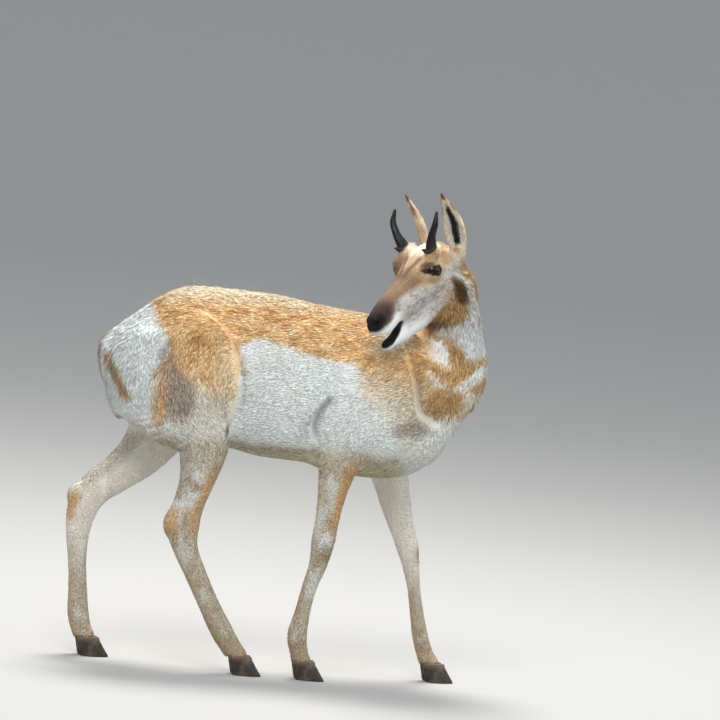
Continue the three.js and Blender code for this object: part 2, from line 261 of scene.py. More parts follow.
class Barrel:
    """Upright sections that stand across +X: x, middle height, half-height and half-width."""

    def __init__(self, rows, caps, egg, shrink=0.0):
        self.rows = spline(rows, 90)
        self.rows[:, 2:] = self.rows[:, 2:] - shrink
        self.caps = np.array(caps, dtype=float) - shrink
        self.egg = egg
        x, z, a, b = self.rows.T
        self.low = np.array([x[0] - self.caps[0], -b.max(), (z - a).min()])
        self.high = np.array([x[-1] + self.caps[1], b.max(), (z + a).max()])

    def distance(self, points):
        x = points[:, 0]
        z, a, b = (np.interp(x, self.rows[:, 0], self.rows[:, column]) for column in (1, 2, 3))
        x1 = points[:, 2] - z
        b = b * (1.0 - self.egg * np.clip(x1 / a, -1.0, 1.0))
        before = np.minimum(x - self.rows[0, 0], 0.0)
        after = np.maximum(x - self.rows[-1, 0], 0.0)
        cap = np.where(before < 0, self.caps[0], self.caps[1])
        return ellipse_distance(x1, points[:, 1], before + after, a, b, cap)


# The animal's masses, as in the solids

TRUNK_ROWS = [
    (-628, 735, 52, 56),
    (-600, 735, 92, 92),
    (-560, 732, 130, 116),
    (-500, 742, 166, 130),
    (-440, 746, 186, 136),
    (-380, 743, 193, 125),
    (-300, 736, 199, 123),
    (-220, 727, 204, 134),
    (-120, 718, 200, 140),
    (-30, 706, 204, 138),
    (60, 702, 201, 132),
    (130, 704, 194, 122),
    (200, 712, 172, 104),
    (238, 728, 134, 88),
    (262, 752, 104, 76),
    (285, 765, 74, 60),
]
BRISKET_ROWS = [
    (-60, 600, 80, 90),
    (60, 590, 88, 92),
    (150, 602, 86, 84),
    (196, 632, 62, 74),
    (228, 690, 42, 60),
]
NECK_ROWS = [
    (150, 0, 742, 150, 108),
    (196, -4, 806, 136, 98),
    (213, -24, 866, 94, 80),
    (208, -50, 930, 74, 65),
    (197, -68, 986, 65, 60),
    (168, -77, 1034, 56, 50),
]
THROAT_HEADINGS = (0, -6, -30, -75, -120, -148)
SKULL_ROWS = [
    (-98, 0, -14, 36, 38),
    (-70, 0, -14, 52, 50),
    (-35, 0, -14, 58, 56),
    (0, 0, -18, 58, 56),
    (40, 0, -22, 52, 47),
    (85, 0, -20, 46, 38),
    (125, 0, -17, 41, 31),
    (160, 0, -14, 32, 28),
    (178, 0, -13, 25, 24),
]
JAW_ROWS = [
    (-40, 0, -70, 42, 34),
    (10, 0, -84, 38, 35),
    (60, 0, -88, 33, 31),
    (105, 0, -85, 26, 26),
    (128, 0, -84, 23, 24),
    (152, 0, -83, 17, 20),
    (174, 0, -80, 12, 15),
]
TAIL_ROWS = [
    (-600, 0, 806, 14, 30),
    (-631, 0, 776, 13, 29),
    (-634, 0, 735, 12, 27),
    (-618, 0, 694, 11, 22),
    (-597, 0, 660, 9, 14),
]
LEG_ROWS = {
    "fore_right": [
        (-5, -80, 690, 104, 48),
        (-20, -86, 625, 90, 46),
        (-40, -86, 560, 63, 38),
        (-48, -84, 505, 47, 32),
        (-53, -82, 450, 37, 29),
        (-57, -80, 392, 32, 27),
        (-61, -79, 343, 32, 28),
        (-67, -78, 288, 25.5, 24),
        (-83, -76, 225, 21, 21),
        (-93, -75, 165, 22, 20),
        (-100, -74, 110, 27, 25),
        (-92, -73, 68, 25, 25),
        (-80, -72, 36, 27, 27),
    ],
    "fore_left": [
        (60, 76, 690, 100, 48),
        (88, 82, 610, 76, 44),
        (120, 84, 515, 52, 36),
        (146, 83, 434, 41, 30),
        (172, 81, 366, 33.5, 28),
        (187, 80, 327, 30, 28),
        (199, 79, 285, 24.5, 24),
        (211, 77, 235, 19.5, 21),
        (223, 75, 180, 19.5, 20),
        (240, 74, 113, 22.5, 24),
        (256, 73, 70, 24, 24),
        (273, 72, 40, 27, 27),
    ],
    "hind_right": [
        (-448, -60, 790, 112, 66),
        (-446, -82, 700, 136, 64),
        (-430, -86, 635, 118, 60),
        (-398, -88, 585, 86, 49),
        (-382, -87, 540, 64, 42),
        (-388, -85, 470, 47, 35),
        (-402, -83, 410, 41, 30),
        (-412, -81, 355, 45, 29),
        (-398, -79, 298, 33, 27),
        (-368, -77, 240, 29, 24),
        (-330, -75, 172, 28, 22),
        (-290, -73, 107, 30, 26),
        (-262, -72, 68, 28, 25),
        (-242, -72, 41, 29, 28),
    ],
    "hind_left": [
        (-450, 60, 790, 112, 66),
        (-452, 80, 700, 130, 64),
        (-452, 86, 630, 108, 60),
        (-466, 86, 568, 80, 48),
        (-503, 86, 504, 62, 41),
        (-556, 85, 452, 50, 35),
        (-606, 83, 410, 45, 31),
        (-633, 81, 362, 41, 29),
        (-640, 80, 304, 33, 27),
        (-636, 78, 240, 26, 24),
        (-628, 76, 170, 26, 22),
        (-621, 74, 108, 29, 26),
        (-610, 73, 68, 28, 25),
        (-596, 72, 41, 28, 27),
    ],
}
HOCK_POINTS = [((-440, -81, 356), (21, 17, 30)), ((-656, 82, 392), (22, 17, 28))]
HOOVES = {
    "fore_right": (-72, -FOOT_TRACK, -4),
    "fore_left": (284, FOOT_TRACK, 4),
    "hind_right": (-230, -FOOT_TRACK, -3),
    "hind_left": (-586, FOOT_TRACK, 3),
}
SIDES = (("left", 1), ("right", -1))


def throat_ways():
    return [(math.cos(math.radians(h)), math.sin(math.radians(h)), -0.35) for h in THROAT_HEADINGS]


def ear_rows(name, side):
    rows = []
    (x, y, z), (lx, ly, lz) = EAR_BASE[name], EAR_LEAN[name]
    for index, width in enumerate(EAR_WIDTHS):
        t = index / (len(EAR_WIDTHS) - 1)
        bend = 10 * math.sin(math.pi * t)
        rows.append((x + lx * t - bend, side * (y + ly * t), z + lz * t, width, width * 0.62))
    return rows


def ear_cup_rows(rows, side):
    return [(x + 10, y + side * 11, z + 3, a * 0.84, b * 0.86) for x, y, z, a, b in rows[1:]]


def ear_way(side):
    return (0.62, -side * 0.78, 0.0)


trunk = Barrel(TRUNK_ROWS, (16, 24), 0.1, BODY_COAT)
brisket = Barrel(BRISKET_ROWS, (40, 26), 0.0, BODY_COAT)
neck = Sweep(NECK_ROWS, throat_ways(), (40, 26), shrink=NECK_COAT)
skull = Sweep(SKULL_ROWS, (0, 0, 1), (14, 14), local=True, shrink=HEAD_COAT)
jaw = Sweep(JAW_ROWS, (0, 0, 1), (16, 12), local=True, shrink=HEAD_COAT)
tail = Sweep(TAIL_ROWS, (-1, 0, 0.3), (8, 10), shrink=4.0)
legs = {name: Sweep(rows, (1, 0, 0), (30, 6), shrink=LEG_COAT) for name, rows in LEG_ROWS.items()}
ears = {
    name: Sweep(ear_rows(name, side), ear_way(side), (10, 6), local=True, shrink=EAR_COAT)
    for name, side in SIDES
}


# The skin, as one surface round a field of distances


class Field:
    """Distances from the animal's surface at the crossings of a grid."""

    def __init__(self, axes):
        self.axes = axes
        self.value = np.full([len(a) for a in axes], FAR, dtype=np.float32)

    def work(self, shape, join, grow=26.0):
        window = []
        for axis in range(3):
            low = np.searchsorted(self.axes[axis], shape.low[axis] - grow)
            high = np.searchsorted(self.axes[axis], shape.high[axis] + grow)
            window.append(slice(low, high))
        window = tuple(window)
        grids = np.meshgrid(*[axis[part] for axis, part in zip(self.axes, window)], indexing="ij")
        points = np.stack([g.ravel() for g in grids], axis=1)
        d = shape.distance(points).reshape(grids[0].shape).astype(np.float32)
        self.value[window] = join(self.value[window], d)

    def add(self, shape, blend):
        self.work(shape, lambda old, new: soft_min(old, new, blend))

    def cut(self, shape, blend):
        self.work(shape, lambda old, new: -soft_min(-old, new, blend))


def soft_min(a, b, blend):
    h = np.maximum(blend - np.abs(a - b), 0.0) / blend
    return np.minimum(a, b) - h * h * blend * 0.25


def graded(*stretches):
    """Grid lines: each stretch is its start, its end and the step between its lines."""
    return np.concatenate([np.arange(*stretch) for stretch in stretches])


# Masses of one side, as place, half-sizes and how softly each one joins the rest.
SHOULDER_BALLS = [((60, 72, 730), (118, 68, 165), 30), ((20, 92, 640), (100, 46, 100), 24)]
THIGH_BALLS = [
    ((-434, 97, 722), (121, 51, 156), 18),
    ((-372, 96, 712), (60, 50, 122), 10),
    ((-548, 60, 700), (66, 54, 120), 30),
]
# The left thigh lies this much further back.
LEFT_THIGH = -8


def add_balls(field, balls, side, shift=0, **options):
    for (x, y, z), radii, blend in balls:
        field.add(Ball((x + shift, side * y, z), radii, **options), blend)


def add_body(field):
    field.add(trunk, 1)
    for side in (-1, 1):
        add_balls(field, SHOULDER_BALLS, side, shrink=BODY_COAT)
    field.add(brisket, 30)
    field.add(neck, 34)
    for name, leg in legs.items():
        field.add(leg, 24 if name.startswith("fore") else 20)
    for side, shift in ((-1, 0), (1, LEFT_THIGH)):
        add_balls(field, THIGH_BALLS, side, shift, shrink=BODY_COAT)
    for centre, radii in HOCK_POINTS:
        field.add(Ball(centre, radii, shrink=LEG_COAT), 14)
    field.add(tail, 10)


# Folds of the left side, as places down each one.
FLANK_FOLD = [(-348, 131, 815), (-318, 131, 768), (-306, 127, 720)]
FLANK_FOLD += [(-303, 122, 675), (-316, 112, 625), (-330, 100, 580)]
ELBOW_FOLD = [(-90, 138, 694), (-108, 136, 668), (-118, 130, 640), (-112, 120, 590)]
SHOULDER_FOLD = [(88, 126, 845), (112, 124, 790), (128, 122, 735), (142, 118, 685), (182, 104, 660)]
RUMP_FOLD = [(-575, 52, 712), (-560, 66, 660), (-545, 64, 620)]
# Each fold with its shift on the left, its width and depth, how softly it joins and how dark its painted
# shade is.
FOLD_KINDS = [
    (FLANK_FOLD, -14, (9, 10), 10, 0.62),
    (ELBOW_FOLD, 28, (9, 11), 10, 0.62),
    (SHOULDER_FOLD, 0, (7, 6), 16, 0.25),
    (RUMP_FOLD, 0, (9, 8), 16, 0.4),
]


def groove(points, side, shift, size):
    """A fold pressed into one side of the body along the points."""
    rows = [(x + shift * (side > 0), side * y, z, *size) for x, y, z in points]
    return Sweep(rows, (0, 0, 1), (6, 6), count=30)


FOLDS = [
    (groove(points, side, shift, size), blend, dark)
    for side in (-1, 1)
    for points, shift, size, blend, dark in FOLD_KINDS
]


def fold_shade(points):
    """Painted shade: less than 1 down in the folds."""
    shade = np.ones(len(points))
    for fold, _, dark in FOLDS:
        near = ((points > fold.low - 10) & (points < fold.high + 10)).all(axis=1)
        if near.any():
            shade[near] *= 1 - dark * (1 - smooth(fold.distance(points[near]), -1, 6))
    return shade


# Hollows on both faces of the legs: the leg's middle, half the gap between them, half-sizes
# and blend. First those in front of the strings of the hocks, then those beside the tendons.
LEG_HOLLOWS = [
    ((-414, -83, 432), 32, (10, 9, 46), 12),
    ((-590, 83, 452), 32, (10, 9, 46), 12),
    ((-86, legs["fore_right"].at[40, 1], 235), 24, (5, 7, 60), 10),
    ((202, legs["fore_left"].at[40, 1], 235), 24, (5, 7, 60), 10),
    ((-370, legs["hind_right"].at[55, 1], 228), 27, (6, 8, 66), 10),
    ((-648, legs["hind_left"].at[55, 1], 225), 27, (6, 8, 66), 10),
]


def add_leg_detail(field):
    for (x, y, z), gap, radii, blend in LEG_HOLLOWS:
        for face in (-1, 1):
            field.cut(Ball((x, y + face * gap, z), radii), blend)


# Under the coat of the head: the cheek, the ear's root and the orbit.
HEAD_BALLS = [
    ((-30, 26, -58), (50, 30, 50), 16),
    ((-84, 46, -18), (28, 24, 26), 14),
    ((EYE_AT[0] - 2, 44, EYE_AT[2] - 1), (34, 24, 29), 12),
]
# Through the coat: the brow, the cheekbone, the horn's root and the whisker pad.
FACE_BALLS = [
    ((-12, 51, 32), (26, 11, 8), 14),
    ((26, 40, -20), (40, 9, 9), 14),
    ((HORN_BASE[0] - 2, HORN_BASE[1] - 2, HORN_BASE[2] - 2), (24, 17, 13), 14),
    ((158, 18, -34), (30, 12, 15), 12),
]
NOSE_AND_CHIN = [((178, 0, -18), (20, 22, 24), 12), ((172, 0, -80), (20, 17, 10), 10)]
# The eye's opening and its front corner, from the eye's middle.
EYE_OPENINGS = [((-4, 18, 0), (28, 17, 11.5)), ((16, 12, 6), (9, 7, 4))]
# The nostril in two steps, and the notch behind the jaw.
FACE_HOLLOWS = [
    ((187, 15, -8), (11, 6, 5.5), 4),
    ((178, 23, -4), (9, 6, 4), 4),
    ((-58, 62, -42), (30, 6, 8), 12),
]
LID = 3.2


def add_head(field):
    field.add(skull, 26)
    field.add(jaw, 12)
    for side in (-1, 1):
        add_balls(field, HEAD_BALLS, side, local=True, shrink=HEAD_COAT)
        add_balls(field, FACE_BALLS, side, local=True)
    add_balls(field, NOSE_AND_CHIN, 1, local=True)
    for name, side in SIDES:
        field.add(ears[name], 12)
        rows = ear_rows(name, side)
        field.cut(Sweep(ear_cup_rows(rows, side), ear_way(side), (4, 3), local=True), 5)


def add_face_openings(field):
    for side in (-1, 1):
        flip = np.array([1, side, 1])
        field.add(Ball(EYE_AT * flip, (EYE_RADIUS + LID,) * 3, True), 8)
        for offset, radii in EYE_OPENINGS:
            field.cut(Ball((EYE_AT + offset) * flip, radii, True, slant=EYE_SLANT), 3)
        for centre, radii, blend in FACE_HOLLOWS:
            field.cut(Ball(centre * flip, radii, True), blend)
    # The mouth, a little open.
    field.cut(Ball((168, 0, -58), (58, 27, 13.5), True), 5)


CORNERS = [(i, j, k) for i in (0, 1) for j in (0, 1) for k in (0, 1)]


def surface(field):
    """Vertices and quads of the surface where the field is 0, with one vertex in each crossed cell."""
    inside = field.value < 0
    at, index = crossed_cells(inside)
    return cell_points(field, at), cell_quads(inside, index)


def crossed_cells(inside):
    """The cells that the surface crosses, and their numbers in a grid of cells."""
    cells = tuple(n - 1 for n in inside.shape)
    count = np.zeros(cells, dtype=np.int8)
    for i, j, k in CORNERS:
        count += inside[i : i + cells[0], j : j + cells[1], k : k + cells[2]]
    active = (count > 0) & (count < 8)
    at = np.argwhere(active)
    index = np.full(cells, -1, dtype=np.int64)
    index[active] = np.arange(len(at))
    return at, index


def cell_points(field, at):
    """The mean of the places where the surface crosses the edges of each cell."""
    values = {c: field.value[tuple((at + c).T)].astype(np.float64) for c in CORNERS}
    total = np.zeros((len(at), 3))
    hits = np.zeros(len(at))
    for c in CORNERS:
        for axis in range(3):
            if c[axis] == 1:
                continue
            a, b = values[c], values[tuple(1 if n == axis else c[n] for n in range(3))]
            crossed = (a < 0) != (b < 0)
            edge = np.tile(np.array(c, dtype=float), (len(at), 1))
            edge[:, axis] = np.where(crossed, a / np.where(crossed, a - b, 1.0), 0.0)
            total += edge * crossed[:, None]
            hits += crossed
    inner = total / hits[:, None]
    lines = [(axis[at[:, n]], np.diff(axis)[at[:, n]]) for n, axis in enumerate(field.axes)]
    return np.stack([start + inner[:, n] * step for n, (start, step) in enumerate(lines)], axis=1)


def cell_quads(inside, index):
    """A quad round each grid edge that crosses the surface, facing out."""
    quads = []
    for axis in range(3):
        u, v = (axis + 1) % 3, (axis + 2) % 3
        low, high = [slice(1, -1)] * 3, [slice(1, -1)] * 3
        low[axis], high[axis] = slice(0, -1), slice(1, None)
        a, b = inside[tuple(low)], inside[tuple(high)]
        edges = np.argwhere(a != b)
        leaving = a[tuple(edges.T)]
        edges[:, [u, v]] += 1
        ring = []
        for du, dv in ((-1, -1), (0, -1), (0, 0), (-1, 0)):
            cell = edges.copy()
            cell[:, u] += du
            cell[:, v] += dv
            ring.append(index[tuple(cell.T)])
        quad = np.stack(ring, axis=1)
        quad[~leaving] = quad[~leaving][:, ::-1]
        quads.append(quad)
    return np.concatenate(quads)


def biggest(verts, quads):
    """The largest connected piece of the surface."""
    label = np.arange(len(verts))
    for _ in range(400):
        low = label[quads].min(axis=1)
        before = label.copy()
        for corner in range(4):
            np.minimum.at(label, quads[:, corner], low)
        label = label[label]
        if np.array_equal(before, label):
            break
    keep = label == np.bincount(label).argmax()
    order = np.cumsum(keep) - 1
    quads = quads[keep[quads].all(axis=1)]
    return verts[keep], order[quads]


def relaxed(verts, quads, rounds):
    """Moves each vertex halfway to the mean of its neighbours, rounds times."""
    ends = np.concatenate([quads[:, [0, 1]], quads[:, [1, 2]], quads[:, [2, 3]], quads[:, [3, 0]]])
    ends = np.concatenate([ends, ends[:, ::-1]])
    count = np.bincount(ends[:, 0], minlength=len(verts))[:, None]
    for _ in range(rounds):
        near = verts[ends[:, 1]]
        total = [np.bincount(ends[:, 0], near[:, n], len(verts)) for n in range(3)]
        verts = verts + 0.5 * (np.stack(total, axis=1) / count - verts)
    return verts


def build_skin():
    axes = [
        graded((-690, -66, COARSE), (-66, 250, FINE), (250, 350, COARSE)),
        graded((-245, -6, FINE), (-6, 190, COARSE)),
        graded((34, 850, COARSE), (850, 1236, FINE)),
    ]
    field = Field(axes)
    add_body(field)
    for fold, blend, _ in FOLDS:
        field.cut(fold, blend)
    add_leg_detail(field)
    add_head(field)
    add_face_openings(field)
    # The legs end flat where the hooves begin.
    field.value[:, :, axes[2] < HOOF_HEIGHT - 1] = FAR
    verts, quads = surface(field)
    verts, quads = biggest(verts, quads)
    return relaxed(verts, quads, 2), quads


# Which part a point belongs to, and the way its hair lies


class Parts:
    """The share of each part at the points, and the lie of the coat there."""

    def __init__(self, points):
        self.points = points
        self.share = {}
        self.ways = {}
        self.gap = {}
        self.note("trunk", trunk.distance(points), self.trunk_way())
        self.note("brisket", brisket.distance(points), np.array([-0.9, 0.0, -0.4]))
        self.follow("neck", neck, -1)
        self.follow("skull", skull, -1)
        self.follow("jaw", jaw, -1)
        self.follow("tail", tail, 1)
        for name, leg in legs.items():
            self.follow("leg_" + name, leg, 1)
        for name, ear in ears.items():
            self.follow("ear_" + name, ear, 1)
        self.weigh()

    def note(self, name, gap, way):
        self.gap[name] = gap
        self.ways[name] = np.broadcast_to(way, self.points.shape)

    def follow(self, name, sweep, sign):
        nearest = sweep.locate(self.points)[0]
        way = sign * sweep.along[nearest]
        self.note(name, sweep.distance(self.points), way @ HEAD_AXES.T if sweep.local else way)

    def trunk_way(self):
        """Back along the spine, down over the ribs, the chest and the rump."""
        x, y, z = self.points.T
        height = np.clip((z - 720.0) / 200.0, -1.0, 1.0)
        side = 1.0 - np.abs(height) ** 2
        rump = smooth(-x, 470.0, 600.0)
        chest = smooth(x, 120.0, 230.0)
        way = np.stack([-np.ones(len(x)), 0.25 * height * np.sign(y), -0.5 * side], axis=1)
        way[:, 0] += 0.35 * rump + 0.75 * chest
        way[:, 2] -= 0.9 * rump + 1.1 * chest
        return way

    def weigh(self):
        least = np.min(list(self.gap.values()), axis=0)
        weights = {name: np.exp(-np.minimum((gap - least) / 7.0, 40.0)) for name, gap in self.gap.items()}
        total = sum(weights.values())
        self.share = {name: weight / total for name, weight in weights.items()}

    def sum(self, *starts):
        return sum(share for name, share in self.share.items() if name.startswith(starts))

    def lie(self, normals):
        way = sum(share[:, None] * self.ways[name] for name, share in self.share.items())
        way = way - (way * normals).sum(1, keepdims=True) * normals
        return unit(way)


# Markings: every colour is worked out from where a point lies. Colours are sRGB, 0 to 255.

WHITE = (230, 236, 236)
CREAM = (226, 219, 200)
BEIGE = (212, 199, 172)
TAN = (224, 184, 134)
PALE_TAN = (240, 222, 188)
DEEP_TAN = (178, 132, 78)
NECK_TAN = (178, 142, 92)
MOULT_GREY = (146, 130, 118)
RUST = (200, 156, 108)
BELLY_IN_SHADE = (192, 182, 144)
BUFF = (192, 181, 160)
BRIDGE = (128, 101, 76)
BLACK = (20, 18, 19)
PATCH_BROWN = (82, 56, 28)

# The top edge of the white flank, and the front edge of the white rump, as place and height.
FLANK_X = (-318, -274, -200, -77, -30, -10)
FLANK_Z = (802, 824, 812, 788, 782, 760)
RUMP_Z = (640, 702, 734, 753, 791, 826, 861, 885, 917, 960)
RUMP_X = (-528, -530, -524, -506, -490, -508, -517, -522, -518, -520)
# The shade along the front of the thigh, as height and place.
CREASE_Z = (720, 768, 815, 868)
CREASE_X = (-306, -318, -348, -388)


# The white bar across the neck, as place and height.
CRESCENT_X = (150, 176, 212, 250, 283, 305)
CRESCENT_Z = (786, 763, 741, 757, 785, 800)
# The edge of the dark skin inside the lower lip, below the painted shade in the mouth's gap, as place along
# the head and height.
LIP_X = (112, 130, 150, 175, 192)
LIP_Z = (-62, -69, -76, -80, -80)


def paint(base, *layers):
    """Paints each layer, a colour and how much of it, over the ones before."""
    for colour, amount in layers:
        amount = np.clip(amount * np.ones(len(base)), 0.0, 1.0)[:, None]
        base = base * (1.0 - amount) + np.array(colour, dtype=float) * amount
    return base


def plain(points, colour):
    return np.tile(np.array(colour, dtype=float), (len(points), 1))


def frayed(q, points, reach, size, seed):
    """The places q, moved by noise, so that a spot there has a ragged edge."""
    return q + reach * ripple(points, size, seed)[:, None]


def tan_coat(points):
    """The tan of the back, with deeper strands and moulted streaks, and a near-white painted highlight along
    the top.
    """
    strands = ripple(points * (0.5, 1.0, 1.0), 13, 21)
    height = points[:, 2] + 14 * ripple(points, 30, 23)
    return paint(
        plain(points, TAN),
        (DEEP_TAN, 0.8 * smooth(strands, 0.0, 0.6)),
        (PALE_TAN, 0.6 * smooth(-strands, 0.1, 0.7)),
        # Painted highlight: near-white along the top of the back, where the light falls from above.
        ((246, 236, 212), 0.85 * smooth(height, 880, 928)),
    )


def body_colour(points):
    q = one_side(points, -1)
    x = q[:, 0] + 9 * ripple(points, 60, 1)
    z = q[:, 2] + 8 * ripple(points, 50, 2) + 4 * ripple(points, 14, 3)
    white = paint(plain(points, WHITE), (CREAM, 0.35 * smooth(ripple(points, 60, 4), 0.0, 0.8)))
    flank = smooth(z - np.interp(x, FLANK_X, FLANK_Z), -10, 12)
    thigh = smooth(z + 0.25 * (x + 420), 655, 745)
    behind = smooth(-x, 312, 326)
    ahead = smooth(x, -45, 25)
    breast = smooth(x + 0.5 * (z - 760), -30, 60)
    amount = flank * (1 - behind) * (1 - ahead) + thigh * behind + smooth(z, 655, 800) * ahead
    colour = white * (1 - amount[:, None]) + tan_coat(points) * amount[:, None]
    thigh_front_shade = bump(x - np.interp(z, CREASE_Z, CREASE_X), 2, 14, 8) * bump(z, 725, 880, 16)
    rump = smooth(np.interp(z, RUMP_Z, RUMP_X) - x, -8, 8) * smooth(z, 560, 640)
    belly = smooth(-z, -585, -545) * smooth(160 - x, 0, 60)
    colour = paint(
        colour,
        (BEIGE, breast * bump(z, 640, 750, 40) * 0.7),
        (CREAM, breast * bump(z, 560, 650, 40) * 0.5),
        (BEIGE, behind * bump(z, 600, 700, 40) * 0.5),
        # Painted highlight on the front edge of the thigh.
        (PALE_TAN, behind * spot(q, (-345, -130, 735), (36, 60, 70), 0.6) * 0.7),
        # Moulting patches on the thigh, and grizzled hair where tan meets white.
        (MOULT_GREY, 0.75 * spot(frayed(q, points, 6, 22, 7), (-462, -140, 672), (38, 70, 58))),
        (MOULT_GREY, 0.5 * spot(frayed(q, points, 8, 20, 9), (-486, -140, 728), (26, 70, 44), 0.6)),
        (RUST, 0.75 * spot(q, (-508, -120, 655), (17, 60, 62), 0.5)),
        # Painted shade on the flank along the front of the thigh.
        ((140, 104, 66), 0.5 * thigh_front_shade),
        (WHITE, rump),
        (MOULT_GREY, 0.5 * spot(q, (-500, -125, 765), (17, 50, 34), 0.5)),
        (MOULT_GREY, 0.4 * spot(q, (-572, -80, 712), (9, 40, 15), 0.6)),
        # The belly, painted darker and yellower: partly its own colour, partly painted shade. Then its edge,
        # and the smudges and white places of the breast and the elbow.
        (BELLY_IN_SHADE, 0.8 * belly),
        # Painted shade in the skin fold along the belly's edge.
        (MOULT_GREY, 0.4 * bump(z, 552, 564, 8) * bump(x, -300, -90, 30)),
        (MOULT_GREY, 0.6 * spot(frayed(q, points, 5, 20, 8), (128, -112, 640), (50, 60, 22), 0.6)),
        (MOULT_GREY, 0.4 * spot(q, (-8, -120, 560), (36, 50, 18), 0.6)),
        (WHITE, 0.6 * spot(q, (-60, -128, 650), (45, 60, 70), 0.7)),
        (WHITE, 0.7 * spot(q, (220, -60, 620), (70, 90, 56), 0.5)),
        ((168, 132, 92), 0.85 * tail_strip(points)),
    )
    return bib(q, colour)


def tail_strip(points):
    """The brown strip that shows down the near side of the tail."""
    x, y, z = points.T
    way = x + 646 - 0.5 * (754 - z) * (z < 754)
    strip = bump(way + 4 * ripple(points, 12, 66), 6, 26, 5) * bump(z, 655, 765, 8)
    return strip * smooth(-y, 4, 12)


def bib(q, colour):
    """The tan patch at the foot of the neck."""
    patch = spot(frayed(q, q, 7, 16, 67), (196, -84, 712), (56, 60, 38), 0.25)
    return paint(colour, (NECK_TAN, 0.9 * patch))


def neck_colour(points):
    along, angle = neck.place(points)
    q = one_side(points, -1)
    warp = ripple(points, 26, 11)
    along = along + 0.02 * warp
    side = np.abs(angle) + 7 * ripple(points, 18, 12)
    x, z = q[:, 0], q[:, 2] + 7 * warp + 3 * ripple(points, 9, 13)
    front = smooth(x, 140, 158)
    throat = bump(along, 0.37, 0.72, 0.02) * (1 - smooth(side, 30, 46))
    collar = bump(along, 0.25, 0.46, 0.02) * bump(side, 70, 108, 6)
    crescent = np.abs(z - np.interp(x, CRESCENT_X, CRESCENT_Z)) - 11 - 10 * smooth(x, 225, 275)
    bar = (1 - smooth(crescent, -5, 5)) * front
    chest = smooth(-z, -690, -660) * front
    rim = bump(z, 700, 745, 8) * smooth(x, 235, 262) * 0.85
    white = np.maximum.reduce([throat, collar, bar * (along < 0.4), chest, rim * (along < 0.3)])
    streak = smooth(ripple(points * (1.0, 1.0, 0.35), 9, 14), 0.15, 0.5)
    nape = bump(along, 0.5, 1.1, 0.05) * bump(side, 30, 85, 10)
    colour = paint(
        tan_coat(points * (1, 1, 0.9)),
        (NECK_TAN, 0.75),
        (WHITE, white),
        # The nape: pale hair with dark streaks on its sides, and a brown mane along its top.
        (WHITE, 0.85 * nape),
        ((140, 124, 114), 0.4 * streak * np.maximum(nape, throat)),
        ((150, 116, 78), 0.75 * smooth(side, 140, 165) * smooth(along, 0.1, 0.3)),
    )
    return cheek_patch(points, bib(q, colour))


def cheek_patch(points, colour):
    """The dark patch behind the jaw of a male, and the tan below it."""
    q = one_side(to_head(points), 1)
    warped = frayed(q, points, 6, 16, 15)
    return paint(
        colour,
        (NECK_TAN, 0.9 * spot(warped, (-12, 42, -122), (34, 50, 30), 0.35)),
        (PATCH_BROWN, 0.95 * spot(warped, (-46, 56, -80), (17, 30, 34), 0.4)),
        (PATCH_BROWN, 0.6 * spot(q, (24, 14, -138), (26, 40, 10), 0.5)),
    )


def face_colour(points):
    p = to_head(points)
    q = one_side(p, 1)
    warp = ripple(points, 18, 31)
    layers = face_fur(points, q, warp) + eye_layers(p, q, warp) + forehead(q, warp) + muzzle(q, warp)
    return cheek_patch(points, paint(plain(points, (208, 206, 202)), *layers))


def face_fur(points, q, warp):
    """Grizzled grey hair, buff at the brow, with a brown bridge that darkens to the nose."""
    x, _, z = q.T
    grey = smooth(ripple(points, 5, 32) + 0.4 * warp, -0.2, 0.6)
    brow = smooth(z + 5 * warp, -22, -4) * smooth(70 - x, 0, 40)
    bridge = smooth(z + 4 * warp - 0.05 * (x - 60), -8, 6) * smooth(x, 10, 50)
    return [
        ((136, 126, 118), 0.75 * grey),
        ((178, 154, 122), 0.5 * smooth(warp, 0.0, 0.6)),
        ((184, 156, 118), 0.85 * brow),
        (BRIDGE, 0.9 * bridge),
        ((96, 76, 68), 0.85 * smooth(x + 10 * warp, 104, 152) * smooth(z, -20, -6)),
    ]


def eye_layers(p, q, warp):
    """Yellowish hair round the eye, with a black rim and a dark corner in front."""
    slanted = (q - EYE_AT) @ turn(1, -EYE_SLANT)
    return [
        ((202, 178, 136), 0.9 * spot(q, (-6, 62, 5), (40, 26, 32), 0.25)),
        ((176, 138, 104), 0.6 * spot(q, (-8, 48, 34), (30, 20, 12), 0.5)),
        (BLACK, spot(slanted, (-8, 15, 0), (33, 15, 13), 0.12)),
        ((52, 38, 32), 0.95 * spot(slanted, (22, 8, 2), (11, 16, 7), 0.35)),
        ((78, 58, 46), 0.75 * spot(slanted, (17, 8, 15), (16, 18, 7), 0.5)),
        ((98, 78, 70), 0.65 * spot(p + 4 * warp[:, None], (6, -42, 24), (32, 18, 16), 0.5)),
    ]


def forehead(q, warp):
    """Dark stripes from the horns towards the nose, and white wool between the horns."""
    x, y, z = q.T
    stripe = 1 - smooth(np.abs(y + 3 * warp - np.interp(x, (-30, 46, 80), (27, 8, 4))), 1, 10)
    return [
        ((92, 74, 68), 0.7 * stripe * bump(x, -22, 52, 10) * smooth(z, 6, 16)),
        ((238, 228, 210), 0.9 * spot(q + 4 * warp[:, None], (-48, 14, 40), (32, 32, 22), 0.3)),
        (WHITE, 0.7 * spot(q, (-52, 52, 34), (18, 18, 14), 0.4)),
        ((150, 108, 70), 0.6 * spot(q, (-66, 50, 12), (12, 14, 14), 0.5)),
        (CREAM, 0.6 * spot(q, (-86, 50, -22), (26, 26, 26), 0.4)),
    ]


